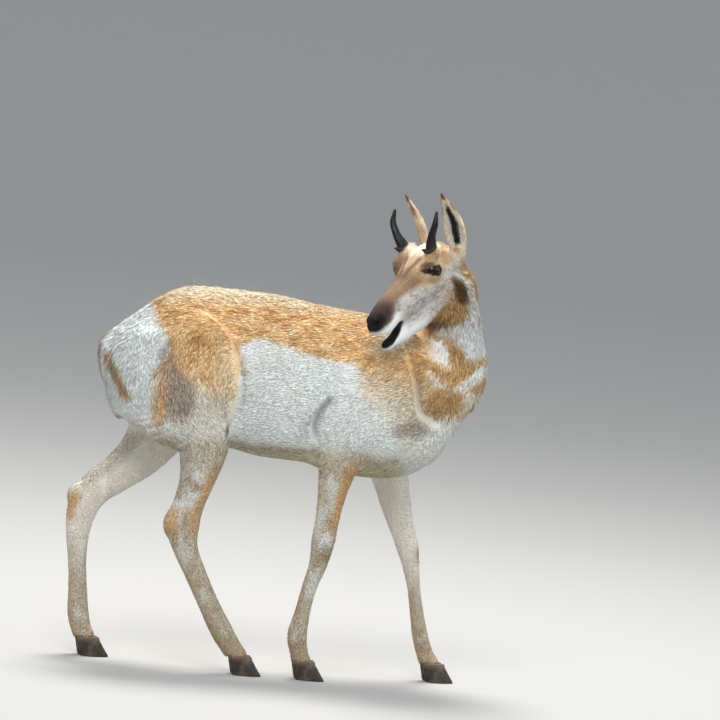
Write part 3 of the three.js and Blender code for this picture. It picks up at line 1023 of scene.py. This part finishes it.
def muzzle(q, warp):
    """White lips, a black nose and a dark mouth: the dark skin of its lips, with painted shade inside it."""
    x, _, z = q.T
    wide = warp[:, None]
    lip = smooth(z - np.interp(x, LIP_X, LIP_Z), -1.5, 1.5) * (1 - smooth(z, -54, -48))
    return [
        (WHITE, smooth(x, 92, 128) * smooth(-z - 3 * warp, 17, 26)),
        (WHITE, 0.9 * spot(q, (92, 22, -98), (40, 30, 20), 0.4)),
        ((182, 140, 92), 0.7 * bump(x, -20, 66, 14) * smooth(-z - 6 * warp, 98, 112)),
        ((118, 84, 60), 0.5 * spot(q, (158, 26, -20), (16, 14, 5), 0.5)),
        ((54, 42, 38), 0.9 * spot(q + 3 * wide, (170, 12, 0), (44, 30, 26), 0.4)),
        (BLACK, spot(q + 2 * wide, (186, 10, -5), (31, 26, 20), 0.25)),
        # Painted shade inside the mouth's opening and its gap, over the dark skin of the lips.
        ((14, 12, 12), spot(q, (168, 0, -58), (60, 25, 14.5), 0.1)),
        ((16, 14, 14), lip * smooth(x, 112, 122)),
    ]


def ear_colour(points, name):
    """Pale outside, black and white hair in the cup, and brown along the edge near the tip."""
    ear, side = ears[name], dict(SIDES)[name]
    along, angle = ear.place(points)
    nearest, across, outward, _ = ear.locate(points)
    across = across / ear.half[nearest, 0]
    rise = side * outward / ear.half[nearest, 1] - 0.9 * (1 - across**2)
    cup = smooth(side * np.sin(np.radians(angle)), 0.0, 0.35) * (1 - smooth(rise, -0.2, 0.1))
    edge = smooth(np.abs(across), 0.72, 0.95) * smooth(along, 0.5, 0.8)
    dark = bump(across + 0.2 * ripple(points, 8, 44), -0.4, 0.2, 0.12) * bump(along, 0.14, 0.8, 0.08)
    return paint(
        plain(points, (214, 200, 174)),
        ((178, 148, 112), 0.7 * smooth(ripple(points, 20, 42), -0.1, 0.5)),
        ((104, 80, 60), 0.8 * edge),
        ((190, 188, 180), 0.9 * cup),
        ((22, 19, 19), cup * dark),
        ((98, 68, 44), smooth(along + 0.03 * ripple(points, 8, 43), 0.88, 0.95)),
    )


def leg_colour(points, name):
    """Buff legs with whitish places, and tan or rusty fronts."""
    leg = legs[name]
    angle = np.abs(leg.place(points)[1])
    y, z = points[:, 1], points[:, 2]
    warp = ripple(points, 24, 51)
    front = 1 - smooth(angle + 10 * warp, 50, 92)
    back = smooth(angle + 10 * warp, 110, 145)
    outer = smooth(np.sign(y) * (y - leg.at[leg.locate(points)[0], 1]), -6, 8)
    colour = paint(
        plain(points, BUFF),
        (WHITE, 0.6 * smooth(ripple(points * (1, 1, 0.5), 40, 52), -0.05, 0.5)),
        ((164, 142, 112), 0.6 * smooth(ripple(points * (1, 1, 0.6), 26, 53), 0.1, 0.6)),
        ((236, 232, 220), 0.9 * (1 - outer) * smooth(z, 200, 320)),
        ((188, 160, 126), 0.5 * back * smooth(-z, -300, -200)),
    )
    if name.startswith("fore"):
        colour = paint(colour, *fore_leg(leg, points, warp, front, outer))
    else:
        colour = paint(colour, *hind_leg(z, warp, front, back, outer))
    colour = paint(
        colour,
        ((176, 150, 118), 0.55 * smooth(-z - 5 * warp, -110, -70)),
        ((96, 78, 60), 0.7 * smooth(-z - 3 * warp, -52, -44)),
    )
    upper = smooth(z, 520, 620)[:, None]
    return colour * (1 - upper) + body_colour(points) * upper


def fore_leg(leg, points, warp, front, outer):
    """A tan front, a white knee with shade under it, and cream at the top."""
    y, z = points[:, 1], points[:, 2]
    knee = (leg.at[38, 0] + 4, y.mean(), 345)
    under_knee = (leg.at[42, 0] + 14, y.mean(), 318)
    return [
        (RUST, 0.85 * front * outer * bump(z, 372, 545, 22)),
        (WHITE, 0.9 * outer * spot(points, knee, (16, 60, 24), 0.5)),
        ((128, 116, 84), 0.5 * spot(points + 3 * warp[:, None], under_knee, (15, 60, 24), 0.6)),
        (CREAM, 0.5 * smooth(z, 520, 600)),
    ]


def hind_leg(z, warp, front, back, outer):
    """A rusty front, a pale outer side, and the dark back of the hock."""
    pale = outer * (1 - front) * bump(z, 360, 540, 30) * smooth(warp, -0.4, 0.1)
    return [
        (RUST, 0.6 * front * outer * bump(z, 330, 500, 30)),
        (WHITE, 0.75 * pale),
        (RUST, 0.7 * back * bump(z, 330, 400, 14)),
        (MOULT_GREY, 0.4 * back * bump(z, 420, 560, 24)),
    ]


def tail_colour(points):
    along = tail.place(points)[0]
    middle = 1 - smooth(np.abs(points[:, 1]) + 3 * ripple(points, 12, 61), 9, 15)
    strip = middle * smooth(0.98 - along, 0, 0.2) * smooth(-points[:, 0], 612, 622)
    return paint(plain(points, WHITE), ((166, 122, 80), 0.85 * strip))


def part_colour(part, points):
    kind, _, name = part.partition("_")
    if kind == "leg":
        return leg_colour(points, name)
    if kind == "ear":
        return ear_colour(points, name)
    painters = {"neck": neck_colour, "skull": face_colour, "jaw": face_colour, "tail": tail_colour}
    return painters.get(kind, body_colour)(points)


def markings(points, parts):
    """The coat's colour at the points, as linear RGB from 0 to 1, with painted shade in the folds."""
    total = np.zeros((len(points), 3))
    for part, share in parts.share.items():
        used = share > 0.004
        if used.any():
            total[used] += share[used, None] * part_colour(part, points[used])
    return to_linear(total) * fold_shade(points)[:, None]


def to_linear(colour):
    """Linear RGB from 0 to 1, from sRGB out of 255."""
    c = np.clip(colour / 255.0, 0.0, 1.0)
    return np.where(c <= 0.04045, c / 12.92, ((c + 0.055) / 1.055) ** 2.4)


# Meshes and materials


def place(points):
    return (points + PLACE) / 1000.0


def link(name, data):
    """A new object in the scene."""
    thing = bpy.data.objects.new(name, data)
    bpy.context.scene.collection.objects.link(thing)
    return thing


def mesh_object(name, points, faces, colours=None):
    """A smooth mesh from millimetres, with a colour for each point."""
    mesh = bpy.data.meshes.new(name)
    mesh.vertices.add(len(points))
    mesh.vertices.foreach_set("co", place(points).astype(np.float32).ravel())
    mesh.loops.add(faces.size)
    mesh.loops.foreach_set("vertex_index", faces.astype(np.int32).ravel())
    mesh.polygons.add(len(faces))
    mesh.polygons.foreach_set("loop_start", np.arange(0, faces.size, faces.shape[1], dtype=np.int32))
    mesh.update(calc_edges=True)
    smoothed(mesh)
    if colours is not None:
        add_colours(mesh, colours)
    return link(name, mesh)


def smoothed(mesh):
    mesh.polygons.foreach_set("use_smooth", np.ones(len(mesh.polygons), dtype=bool))


def add_colours(mesh, colours):
    layer = mesh.color_attributes.new("marking", "FLOAT_COLOR", "POINT")
    rgba = np.ones((len(colours), 4), dtype=np.float32)
    rgba[:, :3] = colours
    layer.data.foreach_set("color", rgba.ravel())


def read(items, key, width=3, kind=np.float32):
    """A property of all the items, with one row for each."""
    flat = np.empty(len(items) * width, dtype=kind)
    items.foreach_get(key, flat)
    return flat.reshape(-1, width)


def vertices_of(mesh):
    """The mesh's points in millimetres in the body's frame."""
    return read(mesh.vertices, "co").astype(float) * 1000.0 - PLACE


# Each look with its roughness and specular level, the scale and amount of the noise in its
# colour, and its bumps as scale, strength, distance and stretch.
LOOKS = {
    "short_fur": (0.85, 0.25, 420.0, 0.16, (950.0, 0.55, 0.0012, (1.0, 1.0, 0.45))),
    "hair_tufts": (0.72, 0.28, 600.0, 0.12, (1400.0, 0.3, 0.0006, (1.0, 1.0, 1.0))),
    "horn_sheath": (0.42, 0.3, 260.0, 0.35, (420.0, 0.5, 0.0012, (1.0, 1.0, 0.3))),
    "hoof_wall": (0.5, 0.4, 180.0, 0.3, (300.0, 0.4, 0.001, (0.4, 0.4, 2.6))),
    "eye_glass": (0.12, 0.25, 700.0, 0.2, None),
}


def material(name, roughness, specular):
    """A material, with its node tree and shader."""
    look = bpy.data.materials.new(name)
    look.use_nodes = True
    shader = look.node_tree.nodes["Principled BSDF"]
    shader.inputs["Roughness"].default_value = roughness
    shader.inputs["Specular IOR Level"].default_value = specular
    return look, look.node_tree, shader


def add_node(tree, kind, **values):
    """A new shader node, with values for its inputs."""
    made = tree.nodes.new("ShaderNode" + kind)
    for label, value in values.items():
        made.inputs[label.replace("_", " ")].default_value = value
    return made


def marked_look(name):
    """The look of that name in LOOKS, with its colour from the markings."""
    roughness, specular, scale, amount, bumps = LOOKS[name]
    look, tree, shader = material(name, roughness, specular)
    at = add_node(tree, "TexCoord").outputs["Object"]
    vary(tree, shader, at, scale, amount)
    if bumps:
        add_bumps(tree, shader, at, *bumps)
    return look


def vary(tree, shader, at, scale, amount):
    """Multiplies the markings by fine noise, so that no surface is one even colour."""
    marked = add_node(tree, "Attribute")
    marked.attribute_name = "marking"
    texture = add_node(tree, "TexNoise", Scale=scale, Detail=4.0)
    spread = add_node(tree, "MapRange", To_Min=1.0 - amount, To_Max=1.0 + amount)
    mix = add_node(tree, "VectorMath")
    mix.operation = "MULTIPLY"
    tree.links.new(at, texture.inputs["Vector"])
    tree.links.new(texture.outputs["Fac"], spread.inputs["Value"])
    tree.links.new(marked.outputs["Color"], mix.inputs[0])
    tree.links.new(spread.outputs["Result"], mix.inputs[1])
    tree.links.new(mix.outputs["Vector"], shader.inputs["Base Color"])


def add_bumps(tree, shader, at, scale, strength, distance, stretch):
    mapping = add_node(tree, "Mapping", Scale=stretch)
    texture = add_node(tree, "TexNoise", Scale=scale, Detail=5.0)
    height = add_node(tree, "Bump", Strength=strength, Distance=distance)
    tree.links.new(at, mapping.inputs["Vector"])
    tree.links.new(mapping.outputs["Vector"], texture.inputs["Vector"])
    tree.links.new(texture.outputs["Fac"], height.inputs["Height"])
    tree.links.new(height.outputs["Normal"], shader.inputs["Normal"])


# The skin with its unwrap


def make_skin():
    verts, quads = build_skin()
    thing = mesh_object("skin", verts, quads)
    thin = thing.modifiers.new("thin", "DECIMATE")
    thin.ratio = min(1.0, SKIN_TRIANGLES / (2.0 * len(quads)))
    bpy.context.view_layer.objects.active = thing
    thing.select_set(True)
    bpy.ops.object.modifier_apply(modifier="thin")
    smoothed(thing.data)
    unwrap(thing)
    thing.select_set(False)
    return thing


def unwrap(thing):
    """Lays the surface of the selected skin out flat in the OFBake map."""
    thing.data.uv_layers.new(name="OFBake")
    bpy.ops.object.mode_set(mode="EDIT")
    bpy.ops.mesh.select_all(action="SELECT")
    bpy.ops.uv.smart_project(angle_limit=math.radians(66), island_margin=0.002)
    bpy.ops.object.mode_set(mode="OBJECT")


# The coat: closed tufts over the skin, sorted into pieces by where they grow

# Each tuft has three points at its root, three at its middle and one at its tip.
TUFT_FACES = [(0, 2, 1), (0, 1, 4), (0, 4, 3), (1, 2, 5), (1, 5, 4)]
TUFT_FACES += [(2, 0, 3), (2, 3, 5), (3, 4, 6), (4, 5, 6), (5, 3, 6)]
TUFT_SHADE = np.array([0.90, 0.90, 0.94, 1.0, 1.0, 1.02, 1.06])
# Each tuft's points on the unwrap, about its root.
TUFT_PATCH = np.array([(-1, -1), (1, -1), (0, -0.6), (-0.8, 0.2), (0.8, 0.2), (0, 0.3), (0, 1)]) * 0.0015
# How deep a tuft is rooted, and its thickness as a share of its width.
ROOT_DEPTH = 1.2
TUFT_THICKNESS = 0.13


def coat_growth(points, parts):
    """Length, width and lift of the hair at the points, and how thick it stands."""
    legs_share = parts.sum("leg_")
    x, _, z = points.T
    low_leg = legs_share * (1 - smooth(z, 470, 620))
    face = parts.sum("skull", "jaw")
    ear = parts.sum("ear_")
    neck_share = parts.sum("neck")
    body = np.clip(1 - low_leg - face - ear, 0, 1)
    rump = body * smooth(-x, 480, 560) * smooth(z, 620, 700)
    back = body * smooth(z, 780, 900)
    local = to_head(points)
    muzzle = face * smooth(local[:, 0], 60, 130)
    poll = face * smooth(-local[:, 0], 10, 40) * smooth(local[:, 2], 10, 30)
    length = 18 * body + 6 * rump + 2 * back + 3 * neck_share + 9.0 * low_leg + 6.5 * face + 7.5 * ear
    length = length - 2.8 * muzzle + 8 * poll
    width = 2.3 * body + 1.6 * low_leg + 1.2 * face + 1.3 * ear - 0.4 * muzzle + 0.6 * poll
    lift = 2.2 * body + 4.5 * back + 6 * low_leg + 6 * face + 7 * ear + 8 * poll
    lift = lift + body * (13 * smooth(z, 885, 925) + 5 * smooth(-x, 560, 610) * smooth(z, 600, 700))
    density = 1.0 * body + 1.7 * low_leg + 4.0 * face + 3.2 * ear
    return length, width, lift, density


def bare(points):
    """1 where no hair grows: the nose, the lips, the mouth, the eyes and the soles."""
    q = one_side(to_head(points), 1)
    nose = spot(q, (188, 10, -5), (27, 23, 17), 0.1)
    mouth = spot(q, (168, 0, -58), (61, 30, 16), 0.08)
    slanted = (q - EYE_AT) @ turn(1, -EYE_SLANT)
    eye = spot(slanted, (-8, 17, 0), (31, 20, 13), 0.1)
    corner = spot(slanted, (20, 9, 0), (11, 18, 6), 0.1)
    hoof = (points[:, 2] < HOOF_HEIGHT + 4).astype(float)
    return np.maximum.reduce([nose, mouth, eye, corner, hoof]) > 0.5


def roots_on(mesh, count, rng):
    """Places on the skin for count tufts, thicker where the coat is finer."""
    points = vertices_of(mesh)
    normals = read(mesh.vertex_normals, "vector").astype(float)
    mesh.calc_loop_triangles()
    tris = read(mesh.loop_triangles, "vertices", kind=np.int32)
    loops = read(mesh.loop_triangles, "loops", kind=np.int32)
    uv = read(mesh.uv_layers["OFBake"].data, "uv", 2)
    corner = points[tris]
    area = 0.5 * np.linalg.norm(np.cross(corner[:, 1] - corner[:, 0], corner[:, 2] - corner[:, 0]), axis=1)
    middle = corner.mean(axis=1)
    density = coat_growth(middle, Parts(middle))[3]
    ends = np.cumsum(area * density * ~bare(middle))
    # Evenly stepped picks keep the spacing regular, with a little scatter.
    picks = (np.arange(count) + rng.random(count)) / count * ends[-1]
    chosen = np.minimum(np.searchsorted(ends, picks), len(tris) - 1)
    a, b = rng.random((2, count))
    over = a + b > 1
    a[over], b[over] = 1 - a[over], 1 - b[over]
    share = np.stack([1 - a - b, a, b], axis=1)[:, :, None]
    root, normal, at = ((part[chosen] * share).sum(1) for part in (corner, normals[tris], uv[loops]))
    keep = ~bare(root)
    return root[keep], unit(normal)[keep], at[keep]


def tuft_shapes(root, normal, way, length, width, lift):
    """The seven points of each tuft."""
    rise, half, run = np.radians(lift)[:, None], width[:, None] * 0.5, length[:, None]
    up, flat, thick = np.sin(rise), np.cos(rise), width[:, None] * TUFT_THICKNESS
    across = np.cross(normal, way) * half
    base = root - normal * ROOT_DEPTH
    middle = root + way * run * 0.45 * flat + normal * run * 0.45 * up
    tip = root + way * run * flat + normal * run * 0.78 * up
    points = [base - across * 0.7, base + across * 0.7, base + normal * thick * 1.6]
    points += [middle - across, middle + across, middle + normal * thick, tip]
    return np.stack(points, axis=1)


def coat_piece(name, look, shapes, colours, uv):
    faces = (np.array(TUFT_FACES)[None] + 7 * np.arange(len(shapes))[:, None, None]).reshape(-1, 3)
    shaded = np.clip(colours[:, None, :] * TUFT_SHADE[None, :, None], 0, 1).reshape(-1, 3)
    thing = mesh_object(name, shapes.reshape(-1, 3), faces, shaded)
    patch = (uv[:, None, :] + TUFT_PATCH[None]).reshape(-1, 2)
    layer = thing.data.uv_layers.new(name="OFBake")
    layer.data.foreach_set("uv", patch[faces.ravel()].astype(np.float32).ravel())
    finish_piece(thing, look)


def coat_zone(points, parts):
    """The name of the coat piece at each point."""
    zone = np.full(len(points), "coat_flank_right", dtype=object)
    x, y, z = points.T
    zone[y > 0] = "coat_flank_left"
    zone[(x > -40) & (y <= 0)] = "coat_shoulder_right"
    zone[(x > -40) & (y > 0)] = "coat_shoulder_left"
    zone[(x < -370) & (y <= 0)] = "coat_thigh_right"
    zone[(x < -370) & (y > 0)] = "coat_thigh_left"
    zone[parts.sum("neck") > 0.5] = "coat_neck"
    zone[parts.sum("skull", "jaw", "ear_") > 0.5] = "coat_head"
    zone[(z < 520) & (y <= 0)] = "coat_legs_right"
    zone[(z < 520) & (y > 0)] = "coat_legs_left"
    return zone


def stray_hairs(root, normal, rng):
    """A few long hairs that stand up along the back and the rump."""
    on_top = np.flatnonzero((normal[:, 2] > 0.75) & (root[:, 0] < 60) & (root[:, 2] > 820))
    return rng.choice(on_top, STRAY_HAIRS, replace=False)


def swung(way, normal, root, rng):
    """Turns the tufts: neighbours swing together, and each one a little by itself."""
    swing = 22 * ripple(root, 30, 71) + 12 * ripple(root, 9, 72) + rng.normal(0, 7, len(root))
    swing = np.radians(swing)[:, None]
    return unit(way * np.cos(swing) + np.cross(normal, way) * np.sin(swing))


def toned(colours, root, rng):
    """Makes each tuft a little lighter or darker, less so where the coat is pale."""
    pale = smooth(colours.min(axis=1), 0.35, 0.7)
    tone = 1 + (0.24 - 0.21 * pale) * rng.normal(0, 1, len(root)) + (0.2 - 0.17 * pale) * ripple(root, 8, 74)
    return colours * np.clip(tone, 0.55, 1.5)[:, None]


def make_coat(skin):
    rng = np.random.default_rng(SEED)
    root, normal, uv = roots_on(skin.data, TUFTS, rng)
    parts = Parts(root)
    length, width, lift, _ = coat_growth(root, parts)
    way = swung(parts.lie(normal), normal, root, rng)
    ruffle = 1 + 0.7 * ripple(root, 14, 73)
    lift = np.clip(lift * ruffle + rng.normal(0, 2.5, len(root)), 2, 34)
    length = length * rng.uniform(0.75, 1.2, len(root))
    width = width * rng.uniform(0.7, 1.25, len(root))
    colours = toned(markings(root, parts), root, rng)
    stray = stray_hairs(root, normal, rng)
    length[stray] = rng.uniform(34, 62, len(stray))
    width[stray] = 0.8
    lift[stray] = rng.uniform(40, 75, len(stray))
    shapes = tuft_shapes(root, normal, way, length, width, lift)
    look = marked_look("hair_tufts")
    zone = coat_zone(root, parts)
    most = PIECE_TRIANGLES // len(TUFT_FACES)
    for name in sorted(set(zone)):
        mine = np.flatnonzero(zone == name)
        for number, start in enumerate(range(0, len(mine), most)):
            chosen = mine[start : start + most]
            label = name if len(mine) <= most else name + "_" + str(number + 1)
            coat_piece(label, look, shapes[chosen], colours[chosen], uv[chosen])


def finish_piece(thing, look):
    thing.data.materials.append(look)
    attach(thing, "root")


# Eyes, horns and hooves


def band(start, sides):
    """Triangles between two rings of points, the first of which begins at start."""
    faces = []
    for side in range(sides):
        a, b = start + side, start + (side + 1) % sides
        faces += [(a, b, b + sides), (a, b + sides, a + sides)]
    return faces


def tube(rows, deep, caps, sides, steps, wobble):
    """A closed sweep with round ends, roughened by wobble(points), as points and triangles."""
    sweep = Sweep(rows, deep, caps, count=steps, local=True)
    angles = np.arange(sides)[:, None] * 2 * np.pi / sides

    def ring(index, shrink, shift):
        a, b = sweep.half[index] * shrink
        round_it = np.cos(angles) * a * sweep.first[index] + np.sin(angles) * b * sweep.second[index]
        return sweep.at[index] + sweep.along[index] * shift + round_it

    turns = [t * math.pi / 2 for t in np.linspace(0.06, 1.0, 6)[:-1]]
    rings = [ring(0, math.sin(t), -sweep.caps[0] * math.cos(t)) for t in turns]
    rings += [ring(index, 1.0, 0.0) for index in range(steps)]
    rings += [ring(steps - 1, math.sin(t), sweep.caps[1] * math.cos(t)) for t in turns[::-1]]
    points = np.concatenate(rings)
    centre = np.repeat(np.array([r.mean(0) for r in rings]), sides, axis=0)
    points = points + unit(points - centre) * wobble(points)[:, None]
    last = len(points) - sides
    points = np.vstack([points, points[:sides].mean(0), points[last:].mean(0)])
    first_end, last_end = len(points) - 2, len(points) - 1
    faces = [(first_end, (s + 1) % sides, s) for s in range(sides)]
    faces += [(last_end, last + s, last + (s + 1) % sides) for s in range(sides)]
    for row in range(len(rings) - 1):
        faces += band(row * sides, sides)
    return points, np.array(faces)


def horn_rows(side):
    x, y, z = HORN_BASE
    shaft = [
        (x, side * y, z - 6, 17, 11),
        (x - 4, side * (y + 6), z + 18, 15, 10.5),
        (x - 12, side * (y + 17), z + 42, 10.5, 8.5),
        (x - 28, side * (y + 29), z + 65, 8, 7),
        (x - 46, side * (y + 29), z + 82, 4.5, 4),
    ]
    prong = [
        (x, side * (y + 2), z + 4, 9, 7),
        (x + 14, side * (y + 3), z + 16, 6, 5),
        (x + 20, side * (y + 3), z + 24, 3, 3),
    ]
    return shaft, prong


def horn_colour(points):
    """Black with a cold sheen, and a rough grey-brown base."""
    z = points[:, 2] - HORN_BASE[2]
    colour = paint(
        plain(points, (9, 10, 12)),
        ((26, 29, 36), 0.6 * smooth(ripple(points * (1, 1, 0.25), 5, 81), 0.0, 0.6)),
        ((58, 50, 44), 0.8 * smooth(30 - z + 6 * ripple(points, 7, 82), 0, 18)),
    )
    return to_linear(colour)


def horn_wobble(points):
    z = points[:, 2] - HORN_BASE[2]
    rough = smooth(34 - z, 0, 20)
    rings = 0.35 * np.sin(z * 1.1) * smooth(60 - z, 0, 30)
    return rings + rough * 1.6 * ripple(points, 6, 83) + 0.3 * ripple(points * (1, 1, 0.3), 3, 84)


def make_horns(look):
    for name, side in SIDES:
        shaft, prong = horn_rows(side)
        points, faces = tube(shaft, (0.9, 0, 0.35), (6, 9), 28, 70, horn_wobble)
        more, more_faces = tube(prong, (1, 0, -0.6), (4, 4), 20, 24, horn_wobble)
        faces = np.concatenate([faces, more_faces + len(points)])
        points = np.concatenate([points, more])
        thing = mesh_object("horn_sheath_" + name, from_head(points), faces, horn_colour(points))
        finish_piece(thing, look)
        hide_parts("horn_" + name)


# The cornea's swelling, the iris, and the pupil: a wide oval that lies level.
CORNEA = 1.2
IRIS_RADIUS = 14.0
PUPIL_LENGTH = 11.5
PUPIL_HEIGHT = 6.5


def eyeball_points(rows=40, sides=56):
    """A ball with its pole facing out, and a cornea that swells a little there."""
    points = [(0.0, EYE_RADIUS + CORNEA, 0.0)]
    for row in range(1, rows):
        polar = math.pi * row / rows
        radius = EYE_RADIUS + CORNEA * math.exp(-((polar / 0.55) ** 2))
        for side in range(sides):
            angle = 2 * math.pi * side / sides
            around = radius * math.sin(polar)
            points.append((around * math.cos(angle), radius * math.cos(polar), around * math.sin(angle)))
    points.append((0.0, -EYE_RADIUS, 0.0))
    last = 1 + (rows - 2) * sides
    faces = []
    for side in range(sides):
        after = (side + 1) % sides
        faces += [(0, 1 + after, 1 + side), (len(points) - 1, last + side, last + after)]
    for row in range(rows - 2):
        faces += band(1 + row * sides, sides)
    return np.array(points), np.array(faces)


def eye_colour(points):
    """A black pupil in a dark brown iris."""
    forward, out, up = points.T
    facing = out > 0
    iris = (1 - smooth(np.hypot(forward, up), IRIS_RADIUS, IRIS_RADIUS + 1.5)) * facing
    pupil = (1 - smooth(np.hypot(forward / PUPIL_LENGTH, up / PUPIL_HEIGHT), 0.85, 1.05)) * facing
    return to_linear(paint(plain(points, (22, 18, 18)), ((30, 20, 16), iris), ((5, 6, 10), pupil)))


def make_eyes(look):
    points, faces = eyeball_points()
    for name, side in SIDES:
        local = (points + EYE_AT) * (1, side, 1)
        thing = mesh_object("eyeball_" + name, from_head(local), faces[:, ::side], eye_colour(points))
        finish_piece(thing, look)
        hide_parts("eye_" + name)


def claw(side, sides=36, levels=14):
    """One claw: a pointed oval that widens to a flat sole."""
    points = []
    angles = np.arange(sides) * 2 * np.pi / sides
    cosine = np.cos(angles)
    narrow = np.where(cosine > 0, 1 - 0.35 * cosine**2, 1.0)
    for level in range(levels + 1):
        z = (HOOF_HEIGHT + 5) * level / levels
        lean = max(0.0, 1 - z / HOOF_HEIGHT)
        front = np.where(cosine > 0, 1 + 0.35 * lean, 1.0)
        inset = 0.94 if level == 0 else 1.0
        x = (CLAW_LENGTH - 6 + 4 * lean) * front * cosine * 0.92 * inset + 14 * lean - 6
        y = CLAW_WIDTH * 0.5 * np.sin(angles) * narrow * inset + side * (CLAW_WIDTH * 0.5 + 1.2)
        ridge = 0.35 * math.sin(z * 1.3)
        points.append(np.stack([x + ridge * cosine, y, np.full(sides, z)], axis=1))
    faces = []
    for level in range(levels):
        faces += band(level * sides, sides)
    top = levels * sides
    for s in range(1, sides - 1):
        faces += [(0, s + 1, s), (top, top + s, top + s + 1)]
    return np.concatenate(points), np.array(faces)


def hoof_colour(points):
    return to_linear(paint(
        plain(points, (52, 45, 40)),
        ((92, 80, 68), smooth(ripple(points, 12, 91), -0.2, 0.5)),
        ((118, 100, 80), 0.7 * smooth(points[:, 2], 30, 44)),
    ))


def make_hooves(look):
    (right, faces), (left, more_faces) = claw(-1), claw(1)
    points = np.concatenate([right, left])
    faces = np.concatenate([faces, more_faces + len(right)])
    for name, (x, y, degrees) in HOOVES.items():
        placed = points @ turn(2, degrees).T + (x, y, 0)
        thing = mesh_object("hoof_wall_" + name, placed, faces, hoof_colour(points))
        finish_piece(thing, look)
        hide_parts("hoof_" + name)


# The floor, the lights and the camera

FLOOR_RADIUS = 18.0
BOWL_RADIUS = 10.0
BOWL_STEPS = 12
FLOOR_SIDES = 96
FLOOR_COLOUR = (0.36, 0.36, 0.355, 1.0)

SKY_COLOUR = (0.93, 0.96, 1.0, 1.0)
SKY_STRENGTH = 0.95
LIGHT_TARGET = (0.0, 0.0, 0.7)
# Each light with its place in metres, size, power in watts and colour.
LIGHTS = {
    "key": ((-1.5, -4.5, 5.5), 3.0, 275.0, (1.0, 0.98, 0.95)),
    "top": ((0.2, 1.7, 5.8), 2.0, 480.0, (1.0, 0.96, 0.89)),
    "side": ((5.5, -2.0, 3.0), 3.0, 80.0, (0.95, 0.97, 1.0)),
}

# The photograph's camera: the target is in millimetres, the other lengths in metres.
CAMERA_AZIMUTH = math.radians(-12.0)
CAMERA_ELEVATION = math.radians(4.0)
CAMERA_ROLL = math.radians(6.0)
CAMERA_DISTANCE = 13.0
CAMERA_TARGET = np.array([0.0, 0.0, 787.0])
VIEW_WIDTH = 1.764
SENSOR = 36.0


def make_floor():
    """A pale floor that curves up far away, so that no edge shows."""
    profile = [(FLOOR_RADIUS, 0.0)]
    for step in range(1, BOWL_STEPS + 1):
        angle = math.radians(90 * step / BOWL_STEPS)
        profile.append((FLOOR_RADIUS + BOWL_RADIUS * math.sin(angle), BOWL_RADIUS * (1 - math.cos(angle))))
    sides = FLOOR_SIDES
    points = [(0.0, 0.0, 0.0)]
    for radius, height in profile:
        for side in range(sides):
            angle = 2 * math.pi * side / sides
            points.append((radius * math.cos(angle), radius * math.sin(angle), height))
    faces = [(0, 1 + s, 1 + (s + 1) % sides) for s in range(sides)]
    for row in range(len(profile) - 1):
        for s in range(sides):
            a, b = 1 + row * sides + s, 1 + row * sides + (s + 1) % sides
            faces.append((a, a + sides, b + sides, b))
    mesh = bpy.data.meshes.new("floor")
    mesh.from_pydata(points, [], faces)
    mesh.update()
    smoothed(mesh)
    look, _, shader = material("floor_paper", 0.9, 0.1)
    shader.inputs["Base Color"].default_value = FLOOR_COLOUR
    mesh.materials.append(look)
    floor = link("floor", mesh)


def area_light(name, at, size, power, colour):
    light = bpy.data.lights.new(name, "AREA")
    light.shape = "DISK"
    light.size = size
    light.energy = power
    light.color = colour
    thing = link(name, light)
    thing.location = at
    thing.rotation_euler = (Vector(LIGHT_TARGET) - Vector(at)).to_track_quat("-Z", "Y").to_euler()


def make_lights():
    world = bpy.data.worlds.new("studio")
    bpy.context.scene.world = world
    world.use_nodes = True
    sky = world.node_tree.nodes["Background"]
    sky.inputs["Color"].default_value = SKY_COLOUR
    sky.inputs["Strength"].default_value = SKY_STRENGTH
    for name, light in LIGHTS.items():
        area_light(name, *light)


def make_camera():
    a, e, roll = CAMERA_AZIMUTH, CAMERA_ELEVATION, CAMERA_ROLL
    back = np.array([math.sin(a) * math.cos(e), -math.cos(a) * math.cos(e), math.sin(e)])
    right = np.array([math.cos(a), math.sin(a), 0.0])
    up = np.cross(back, right)
    data = bpy.data.cameras.new("camera")
    data.sensor_width = SENSOR
    data.lens = SENSOR * CAMERA_DISTANCE / VIEW_WIDTH
    data.clip_end = 100.0
    camera = link("camera", data)
    matrix = np.eye(4)
    matrix[:3, 0] = right * math.cos(roll) + up * math.sin(roll)
    matrix[:3, 1] = up * math.cos(roll) - right * math.sin(roll)
    matrix[:3, 2] = back
    matrix[:3, 3] = place(CAMERA_TARGET) + back * CAMERA_DISTANCE
    camera.matrix_world = Matrix(matrix.tolist())
    bpy.context.scene.camera = camera


FLESH = [
    "trunk", "neck", "head", "lower_jaw", "tail", "ear_left", "ear_right",
    "foreleg_left_upper", "foreleg_left_lower", "foreleg_right_upper", "foreleg_right_lower",
    "hind_leg_left_upper", "hind_leg_left_lower", "hind_leg_right_upper", "hind_leg_right_lower",
]
# Painted shade on the skin between the tufts: its brightness as a share of theirs.
SKIN_SHADE = 0.9


def main():
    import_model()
    make_camera()
    make_lights()
    make_floor()
    skin = make_skin()
    finish_piece(skin, marked_look("short_fur"))
    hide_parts(*FLESH)
    points = vertices_of(skin.data)
    add_colours(skin.data, markings(points, Parts(points)) * SKIN_SHADE)
    make_coat(skin)
    make_eyes(marked_look("eye_glass"))
    make_horns(marked_look("horn_sheath"))
    make_hooves(marked_look("hoof_wall"))
    bpy.context.scene.view_settings.view_transform = "Standard"


main()
